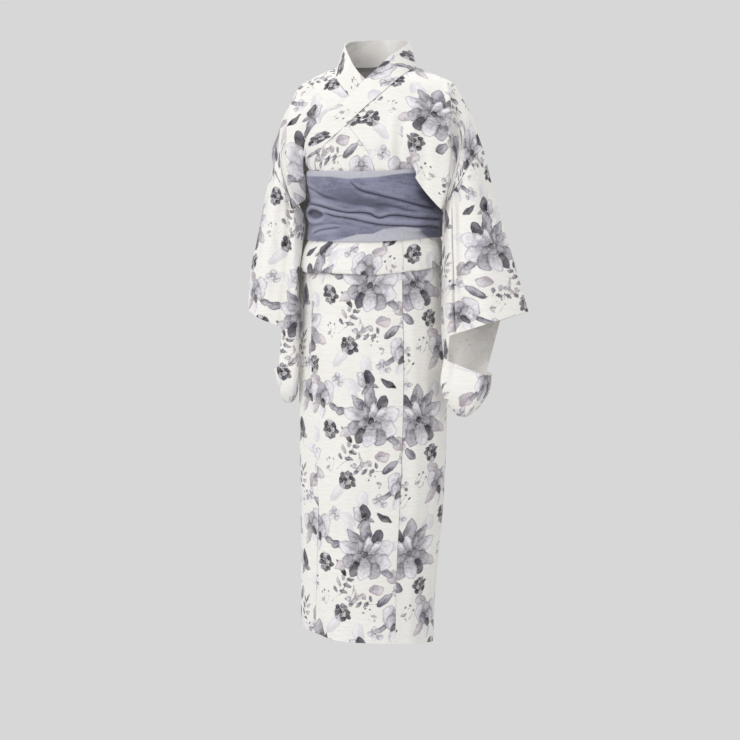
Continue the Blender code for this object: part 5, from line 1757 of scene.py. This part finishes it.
def pleat(angle, height, ridge, half_width, line):
    """Lift and painted shade of a crease: d / w * exp(1 - d / w) on both sides of its line, lower below it.
    """
    at, line_z = np.array(line, float).T
    table = np.stack([at, line_z], 1)
    away = height - curve(np.clip(angle, at[0], at[-1]).ravel(), table).reshape(angle.shape)
    fade = smoothstep((angle - at[0]) / PLEAT_FADE) * smoothstep((at[-1] - angle) / PLEAT_FADE)
    width_below, lift_below = PLEAT_BELOW
    share = np.abs(away) / np.where(away > 0, half_width, width_below * half_width)
    side = np.where(away > 0, 1.0, lift_below)
    # Painted shade: dark along the crease's line, and spreading from it, further above it under the ridge
    painted_line_shade = bell(away / PLEAT_LINE)
    painted_shade_under_ridge = 0.5 * np.exp(-np.abs(away) / np.where(away > 0, *PLEAT_SHADE))
    painted_crease_shade = np.maximum(painted_line_shade, painted_shade_under_ridge) * fade * min(ridge / PLEAT_DARKEST, 1)
    return ridge * side * share * np.exp(1 - share) * fade, painted_crease_shade


def softened(field, reach):
    """A field averaged over some rows to both sides."""
    padded = np.pad(field, ((reach, reach), (0, 0)), "edge")
    return sum(padded[step : step + len(field)] for step in range(2 * reach + 1)) / (2 * reach + 1)


def patches(angle, height, table):
    """Sum of soft oval patches: each is its share times a bell across and down."""
    return sum(
        share * bell((angle - at) / half_angle) * bell((height - at_height) / half_height)
        for at, at_height, half_angle, half_height, share in table
    )


def sash_part():
    """The wound stretch of the sash, with its broad folds, its creases and its loosely turned end."""
    rows, columns = SASH_NET
    angle = np.arange(0, 360, 360 / columns)[None, :]
    rise_over, fall_over = SASH_SLOPE_ANGLES
    level = np.linspace(SASH_TOP, SASH_BOTTOM, rows)[:, None]
    height = level + SASH_SLOPE * smoothstep(angle / rise_over) * smoothstep((180 - angle) / fall_over)
    signed = np.broadcast_to((angle + 90) % 360 - 90, height.shape)
    side, side_width = SASH_FOLDS_SIDE
    folds_share = SASH_FOLDS_ELSEWHERE + (1 - SASH_FOLDS_ELSEWHERE) * bell((signed - side) / side_width)
    lift = folds_share * sash_lift(angle, height)
    # Shade painted along the creases, and round the upper edge of the turned end's hollow
    painted_crease_shade = np.zeros(height.shape)
    for ridge, half_width, line in SASH_PLEATS:
        pleat_lift, pleat_painted_shade = pleat(signed, height, ridge, half_width, line)
        lift = lift + pleat_lift
        painted_crease_shade = np.maximum(painted_crease_shade, pleat_painted_shade)
    # The loosely turned end: a hollow with a raised rim round it, and painted shade along the edge of its
    # upper half
    at_angle, at_z, half_wide, half_high, rim, hollow = SASH_HOLLOW
    ring = np.hypot((signed - at_angle) * DEGREE / half_wide, (height - at_z) / half_high)
    rim_at, rim_width = HOLLOW_RIM
    loop_at, loop_width, loop_shade = HOLLOW_LOOP
    fade_over, fade_start = HOLLOW_FADE
    lift = lift + rim * bell((ring - rim_at) / rim_width) - hollow * bell(ring / HOLLOW_REACH)
    loop = loop_shade * bell((ring - loop_at) / loop_width)
    loop = loop * smoothstep((height - at_z) / fade_over + fade_start)
    painted_crease_shade = np.maximum(painted_crease_shade * (1 - bell(ring**2)), loop)
    # How far the cloth stands out of its surroundings: the tone paints a highlight where it rises and shade
    # where it sinks
    relief = np.clip((lift - softened(lift, SASH_SURROUNDINGS)) / SASH_RELIEF, -1, 1)
    # Patches painted darker, partly for more layers and partly as painted shade, and paler ones where fewer
    # layers lie
    darker_layers_and_shade, thin = (patches(signed, height, table) for table in (SASH_LAYERS_AND_SHADE, SASH_THIN))
    edge = np.minimum(SASH_TOP - level, level - SASH_BOTTOM)
    lift = np.minimum(lift, SASH_LIFT_LIMIT) * smoothstep(edge / SASH_EDGE + 0.25)
    grid = on_body(angle, height, SASH_STAND_OFF + lift)
    high_veil = np.interp(signed, *np.array(VEIL_TOP, float).T)
    low_veil = np.interp(signed, *np.array(VEIL_BOTTOM, float).T, left=NO_VEIL, right=NO_VEIL)
    sheer = smoothstep(np.maximum(height - high_veil, low_veil - height) / VEIL_EDGE + 0.5)
    # Painted highlight where the cloth rises above its surroundings and painted shade where it sinks, paler
    # where fewer layers lie, and darker in the patches of more layers and of painted shade
    tone = np.clip(relief + thin - darker_layers_and_shade, -1, 1)
    across = np.radians(angle) * SASH_RADIUS
    return Part(grid, across, -height, INSIDE_SASH, ring=True, sheer=sheer, painted_crease_shade=painted_crease_shade, tone=tone)


def squared(wave):
    """A cosine or sine drawn towards -1 and 1, which makes a round section squarer."""
    return np.sign(wave) * np.abs(wave) ** KNOT_SQUARENESS


def knot_part():
    """The knot: a band wound round the middle of the bow, gathered into ridges along its way."""
    rows, degrees = KNOT_NET
    turn = np.radians(np.arange(0, 360, degrees))[None, :]
    across = np.linspace(-1, 1, rows)[:, None]
    half = np.array(KNOT_SIZE) / 2 - KNOT_GATHERS
    swell = 1 - KNOT_TAPER * across**2
    ridges = 0.9 * np.cos(across * 15 + 0.7 * np.sin(turn * 2)) + 0.5 * np.cos(across * 27 + turn)
    y = squared(np.cos(turn)) * half[1] * swell + ridges * np.cos(turn)
    z = squared(np.sin(turn)) * half[2] * swell + ridges * np.sin(turn)
    grid = points(across * half[0], y, z) + knot_middle()
    return Part(grid, np.degrees(turn) / KNOT_TURN, across * KNOT_HALF_CLOTH, knot_middle(), ring=True)


def loop_part(side):
    """One loop of the bow: a flat ring of cloth, gathered at the knot and wide at its end."""
    rows, degrees = LOOP_NET
    turn = np.radians(np.arange(0, 360, degrees))[None, :]
    out = (1 + np.cos(turn)) / 2
    start = KNOT_SIZE[0] / 2 + SEAM_GAP + SASH_CLOTH
    across = np.linspace(0.5, -0.5, rows)[:, None]
    gathers = np.cos(across * 34 + SIGNS[side]) + 0.6 * np.cos(across * 57 + 2 * turn)
    fade = smoothstep(out * 8) * (1.1 - out) * smoothstep((1 - np.abs(across) * 2) * 8 + 0.3)
    outwards = np.sign(np.sin(turn)) * smoothstep(np.abs(np.sin(turn)) * 3)
    x = start + LOOP_LENGTH * out
    y = LOOP_DEPTH / 2 * np.sin(turn) - LOOP_BEND * out**2 + LOOP_GATHERS * gathers * fade * outwards
    width = LOOP_WIDTHS[0] + (LOOP_WIDTHS[1] - LOOP_WIDTHS[0]) * smoothstep(out)
    grid = mirrored(points(x, y, width * across - LOOP_DROP * out), side) + knot_middle()
    centre = mirrored((start + LOOP_LENGTH / 2, 0, 0), side) + knot_middle()
    return Part(grid, arc(points(x, y[:1], 0.0), 1), across * LOOP_WIDTHS[1], centre, ring=True)


def tail_part(side):
    """One hanging end of the sash, from under the knot, with soft lengthwise waves."""
    rows, columns = TAIL_NET
    down = np.linspace(0, 1, rows)[:, None]
    across = np.linspace(-0.5, 0.5, columns)[None, :]
    width = TAIL_WIDTHS[0] + (TAIL_WIDTHS[1] - TAIL_WIDTHS[0]) * smoothstep(down * TAIL_WIDENING)
    x = width * (0.5 + across) + TAIL_START + TAIL_SPREAD * down
    wave = TAIL_WAVE * np.cos(across * 2 * math.pi * TAIL_WAVES) * smoothstep(down * 3)
    fine = TAIL_FINE_WAVE * np.cos(across * 44 + 3 * down) * smoothstep(down * 8) * (1 - 0.6 * down)
    y = wave + fine - TAIL_LEAN * smoothstep(down * 3)
    fallen = TAIL_LENGTHS[side] * down
    z = -KNOT_SIZE[2] / 2 - SEAM_GAP - fallen - TAIL_SLANT * across * down
    grid = mirrored(points(x, y, z), side) + knot_middle()
    return Part(grid, across * TAIL_WIDTHS[1], fallen, BEFORE_TAILS, hem=TAIL_LENGTHS[side] - fallen)


def colour(code):
    """Linear RGBA of an sRGB hex code."""
    values = np.array([int(code[start : start + 2], 16) for start in (1, 3, 5)]) / 255
    linear = np.where(values <= 0.04045, values / 12.92, ((values + 0.055) / 1.055) ** 2.4)
    return (*linear.tolist(), 1.0)


def set_inputs(tree, node, values):
    """Inputs of a node by name or number: a socket is linked to, anything else is set as the value."""
    for name, value in values.items():
        if isinstance(value, bpy.types.NodeSocket):
            tree.links.new(value, node.inputs[name])
        else:
            node.inputs[name].default_value = value


def add_node(tree, kind, settings=None, **inputs):
    """A node with its settings and its inputs, each by its name or by i and its number."""
    node = tree.nodes.new("ShaderNode" + kind)
    for name, value in (settings or {}).items():
        setattr(node, name, value)
    set_inputs(tree, node, {int(name[1:]) if name[1:].isdigit() else name: inputs[name] for name in inputs})
    return node


# Steps of a look besides arithmetic: kind of node, settings, inputs in their order, output. A ramp eases a
# value from one range into another, and a mix lays its second colour over its first by a share.
STEPS = {
    "RAMP": ("MapRange", {"interpolation_type": "SMOOTHSTEP"}, (0, 1, 2, 3, 4), 0),
    "MIX": ("Mix", {"data_type": "RGBA"}, (0, 6, 7), 2),
    "SUBTRACT_CLAMPED": ("Math", {"operation": "SUBTRACT", "use_clamp": True}, (0, 1), 0),
}


def wire(tree, step, *values):
    """The result of one step of a look: one of the steps above, or the name of a calculation."""
    kind, settings, places, output = STEPS.get(step, ("Math", {"operation": step}, (0, 1, 2), 0))
    node = add_node(tree, kind, settings)
    set_inputs(tree, node, dict(zip(places, values)))
    return node.outputs[output]


def noises(tree, table):
    """Fields of noise on the flat cloth, each by its name."""
    place = add_node(tree, "UVMap", {"uv_map": "cloth"}).outputs[0]
    fields = {}
    for name, (across, down, detail, roughness) in table.items():
        scaled = add_node(tree, "VectorMath", {"operation": "MULTIPLY"}, i0=place, i1=(across, down, 1.0))
        settings = {"Vector": scaled.outputs[0], "Scale": 1.0, "Detail": detail, "Roughness": roughness}
        fields[name] = add_node(tree, "TexNoise", **settings).outputs["Fac"]
    return fields


def attribute(tree, name):
    """The three numbers of a mesh attribute."""
    vector = add_node(tree, "Attribute", {"attribute_name": name}).outputs["Vector"]
    return add_node(tree, "SeparateXYZ", Vector=vector).outputs


def new_material(name):
    """A material with its nodes and its main shader."""
    material = bpy.data.materials.new(name)
    material.use_nodes = True
    return material, material.node_tree, material.node_tree.nodes["Principled BSDF"]


def washed(tree, base, fields, washes):
    """A colour with others laid over it, as in the tables of the cloths."""
    for name, low, high, most, code in washes:
        base = wire(tree, "MIX", wire(tree, "RAMP", fields[name], low, high, 0.0, most), base, colour(code))
    return base


def finish_cloth(tree, shader, base, height, relief, look):
    """Sets the colour and the relief of a cloth and how it takes light."""
    strength, millimetres = relief
    bump = add_node(tree, "Bump", Height=height, Strength=strength, Distance=millimetres * MM)
    set_inputs(tree, shader, {"Base Color": base, "Normal": bump.outputs[0], **look})


def printed_cotton(name):
    """Plain-woven yukata cotton, printed on one side: matt, with threads that show and run inks."""
    material, tree, shader = new_material(name)
    field = noises(tree, COTTON_NOISES)
    depths = dict(zip(TONES, [*attribute(tree, "ink_tones"), *attribute(tree, "wash_tones")]))
    flow = attribute(tree, "flow")[0]
    hem, inner, _sheer = attribute(tree, "marks")
    tint = wire(tree, "RAMP", field["tint"], 0.35, 0.75)
    base = wire(tree, "MIX", tint, colour(CLOTH_WHITE), colour(CLOTH_WARM))
    base = washed(tree, base, field, [(*threads, CLOTH_THREAD) for threads in COTTON_THREADS])
    ragged = wire(tree, "MULTIPLY_ADD", field["ragged"], INK_RAGGED, -INK_RAGGED / 2)
    shown = wire(tree, "MULTIPLY_ADD", inner, -PRINT_HIDDEN, 1.0)
    flow = wire(tree, "ADD", flow, -INK_MOTTLE / 2)
    run = wire(tree, "RAMP", wire(tree, "MULTIPLY_ADD", field["mottle"], INK_MOTTLE, flow), 0.0, 1.0)
    thin_from, thin_to, thin = INK_WASH
    for tone, (base_ink, tip_ink, strength) in INKS.items():
        depth = wire(tree, "ADD", depths[tone], ragged)
        towards_tip = wire(tree, "SUBTRACT_CLAMPED", run, wire(tree, "RAMP", depth, *INK_RIM))
        ink = wire(tree, "MIX", towards_tip, colour(base_ink), colour(tip_ink))
        wash = wire(tree, "RAMP", field["wash"], thin_from, thin_to, thin * strength, strength)
        amount = wire(tree, "MULTIPLY", wash, wire(tree, "RAMP", depth, *INK_EDGE))
        base = wire(tree, "MIX", wire(tree, "MULTIPLY", amount, shown), base, ink)
    base = wire(tree, "MIX", wire(tree, "MULTIPLY", inner, REVERSE_SHARE), base, colour(CLOTH_REVERSE))
    stitch = wire(tree, "ABSOLUTE", wire(tree, "SUBTRACT", hem, HEM_STITCH))
    groove = wire(tree, "RAMP", stitch, 0.0, HEM_GROOVE, HEM_PULL, 0.0)
    height = wire(tree, "ADD", field["weft"], field["warp"])
    added = ((field["slubs"], SLUB_HEIGHT), (groove, field["pucker"]), (field["hang"], HANG_HEIGHT))
    for first, second in added:
        height = wire(tree, "MULTIPLY_ADD", first, second, height)
    finish_cloth(tree, shader, base, height, COTTON_RELIEF, COTTON_LOOK)
    return material


def sash_crepe(name):
    """Soft crinkled crepe of the sash: slate violet, with painted shade in its creases and low folds and a
    painted highlight on its ridges, sheer where one layer shows.
    """
    material, tree, shader = new_material(name)
    field = noises(tree, CREPE_NOISES)
    sheer = attribute(tree, "marks")[2]
    painted_crease_shade, field["tone"], _tone = attribute(tree, "shade")
    veil = wire(tree, "RAMP", field["crinkle"], 0.3, 0.7)
    veil = wire(tree, "MIX", veil, colour(SASH_VEIL), colour(SASH_VEIL_DEEP))
    base = wire(tree, "MIX", sheer, washed(tree, colour(SASH_DEEP), field, CREPE_WASHES), veil)
    # Painted highlight and painted shade from the relief, with the patches of layers and of painted shade
    base = washed(tree, base, field, CREPE_LIGHT_SHADE_AND_LAYERS)
    # Painted shade in the creases and along the hollow's upper edge
    base = wire(tree, "MIX", wire(tree, "MULTIPLY", painted_crease_shade, CREASE_SHADE_SHARE), base, colour(SASH_CREASE_SHADE))
    ridges = wire(tree, "MULTIPLY_ADD", field["crinkle"], 2.0, field["grain"])
    finish_cloth(tree, shader, base, ridges, CREPE_RELIEF, CREPE_LOOK)
    return material


def floor_paint(name):
    """The floor of an evenly lit studio sweep, as pale as the room behind it."""
    material, tree, shader = new_material(name)
    look = {"Base Color": colour("#000000"), "Specular IOR Level": 0.0}
    look.update({"Emission Color": colour(ROOM_COLOUR), "Emission Strength": ROOM_STRENGTH})
    set_inputs(tree, shader, look)
    return material


def add_object(name, data):
    """A new object in the scene."""
    new = bpy.data.objects.new(name, data)
    bpy.context.scene.collection.objects.link(new)
    return new


def turn_to(new, direction):
    """Turns a light or a camera to look in a direction."""
    new.rotation_euler = direction.to_track_quat("-Z", "Y").to_euler()


def add_light(name, place, target, size, power):
    """A square soft light turned to a target, all in metres."""
    light = bpy.data.lights.new(name, "AREA")
    light.shape = "SQUARE"
    light.size = size
    light.energy = power
    new = add_object(name, light)
    new.location = place
    turn_to(new, Vector(target) - Vector(place))


def add_stage():
    """The floor, the lights round the garment and the even light of the room."""
    mesh = bpy.data.meshes.new("floor")
    ends = (-FLOOR_REACH, FLOOR_REACH)
    corners = [(x, y, FLOOR_HEIGHT) for x in ends for y in ends]
    mesh.from_pydata(corners, [], [(0, 2, 3, 1)])
    mesh.materials.append(floor_paint("matt pale floor paint"))
    floor = add_object("floor", mesh)
    for light in LIGHTS:
        add_light(*light)
    world = bpy.data.worlds.new("room")
    world.use_nodes = True
    tree = world.node_tree
    direction = add_node(tree, "TexCoord").outputs["Generated"]
    towards = add_node(tree, "VectorMath", {"operation": "DOT_PRODUCT"}, i0=direction, i1=ROOM_BRIGHTEST)
    level = wire(tree, "RAMP", towards.outputs["Value"], *ROOM_TURN, *ROOM_LEVELS)
    upward = add_node(tree, "SeparateXYZ", Vector=direction).outputs["Z"]
    difference = wire(tree, "SUBTRACT", level, ROOM_STRENGTH)
    strength = wire(tree, "MULTIPLY_ADD", wire(tree, "RAMP", upward, *ROOM_BAND), difference, ROOM_STRENGTH)
    set_inputs(tree, tree.nodes["Background"], {"Color": colour(ROOM_COLOUR), "Strength": strength})
    bpy.context.scene.world = world


def add_camera():
    """The camera: turned and raised round the garment, looking at the middle of its height."""
    turn, rise = math.radians(CAMERA_TURN), math.radians(CAMERA_RISE)
    target = Vector((CAMERA_SHIFT * math.cos(turn), CAMERA_SHIFT * math.sin(turn), CAMERA_HEIGHT))
    away = Vector((math.sin(turn) * math.cos(rise), -math.cos(turn) * math.cos(rise), math.sin(rise)))
    camera = bpy.data.cameras.new("camera")
    camera.sensor_width = SENSOR_WIDTH
    camera.lens = SENSOR_WIDTH * CAMERA_DISTANCE / PICTURE_WIDTH
    camera.clip_end = CAMERA_REACH
    new = add_object("camera", camera)
    new.location = target + away * CAMERA_DISTANCE
    turn_to(new, -away)
    bpy.context.scene.camera = new


def garment():
    """Every piece: its node, its parts, its shell, its slot, and the cloth that its print is cut from."""
    for side, sign in SIGNS.items():
        body, overlap, sleeve = "body_" + side, "overlap_" + side, "sleeve_" + side
        seam_angle, edge_angle = by_height(SKIRT_HEIGHTS, SKIRT_OVERLAP).T
        yield "body_panel_" + side, body_parts(side), COTTON_FACES, "cotton", body
        yield "overlap_panel_" + side, overlap_parts(side), COTTON_FACES, "cotton", overlap
        part = skirt_part(side, sign * 180, sign * SIDE_SEAM, SKIRT_BACK_COLUMNS)
        yield "skirt_back_" + side, [part], COTTON_FACES, "cotton", body
        part = skirt_part(side, sign * SIDE_SEAM, sign * seam_angle, SKIRT_FRONT_COLUMNS)
        yield "skirt_front_" + side, [part], COTTON_FACES, "cotton", body
        part = skirt_part(side, sign * seam_angle, sign * edge_angle, SKIRT_FRONT_COLUMNS, free_edge=True)
        yield "skirt_overlap_" + side, [part], COTTON_FACES, "cotton", overlap
        yield sleeve, [sleeve_part(side)], COTTON_FACES, "cotton", sleeve
        yield "sash_loop_" + side, [loop_part(side)], SASH_FACES, "sash", None
        yield "sash_tail_" + side, [tail_part(side)], TAIL_FACES, "sash", None
    yield "collar", collar_parts(), COLLAR_FACES, "cotton", "collar"
    yield "sash_wrap", [sash_part()], SASH_FACES, "sash", None
    yield "sash_knot", [knot_part()], SASH_FACES, "sash", None


for old in list(bpy.data.objects):
    bpy.data.objects.remove(old, do_unlink=True)
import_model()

tile = print_tile()
materials = {
    # Cotton of the garment, printed on its outer side
    "cotton": printed_cotton("yukata cotton, printed"),
    # Crepe of the sash and its bow
    "sash": sash_crepe("sash crepe"),
}
pieces = {}
for node, parts, faces_at, slot, cut_from in garment():
    start = PRINT_STARTS.get(cut_from)
    pieces[node] = add_piece(node + "_cloth", [node], parts, faces_at, materials[slot], slot, tile, start)

for name, width, length, area, held, rests_on in SHEETS:
    lying_on = [pieces[other].name for other in rests_on]

add_stage()
add_camera()
bpy.context.scene.view_settings.view_transform = "Standard"
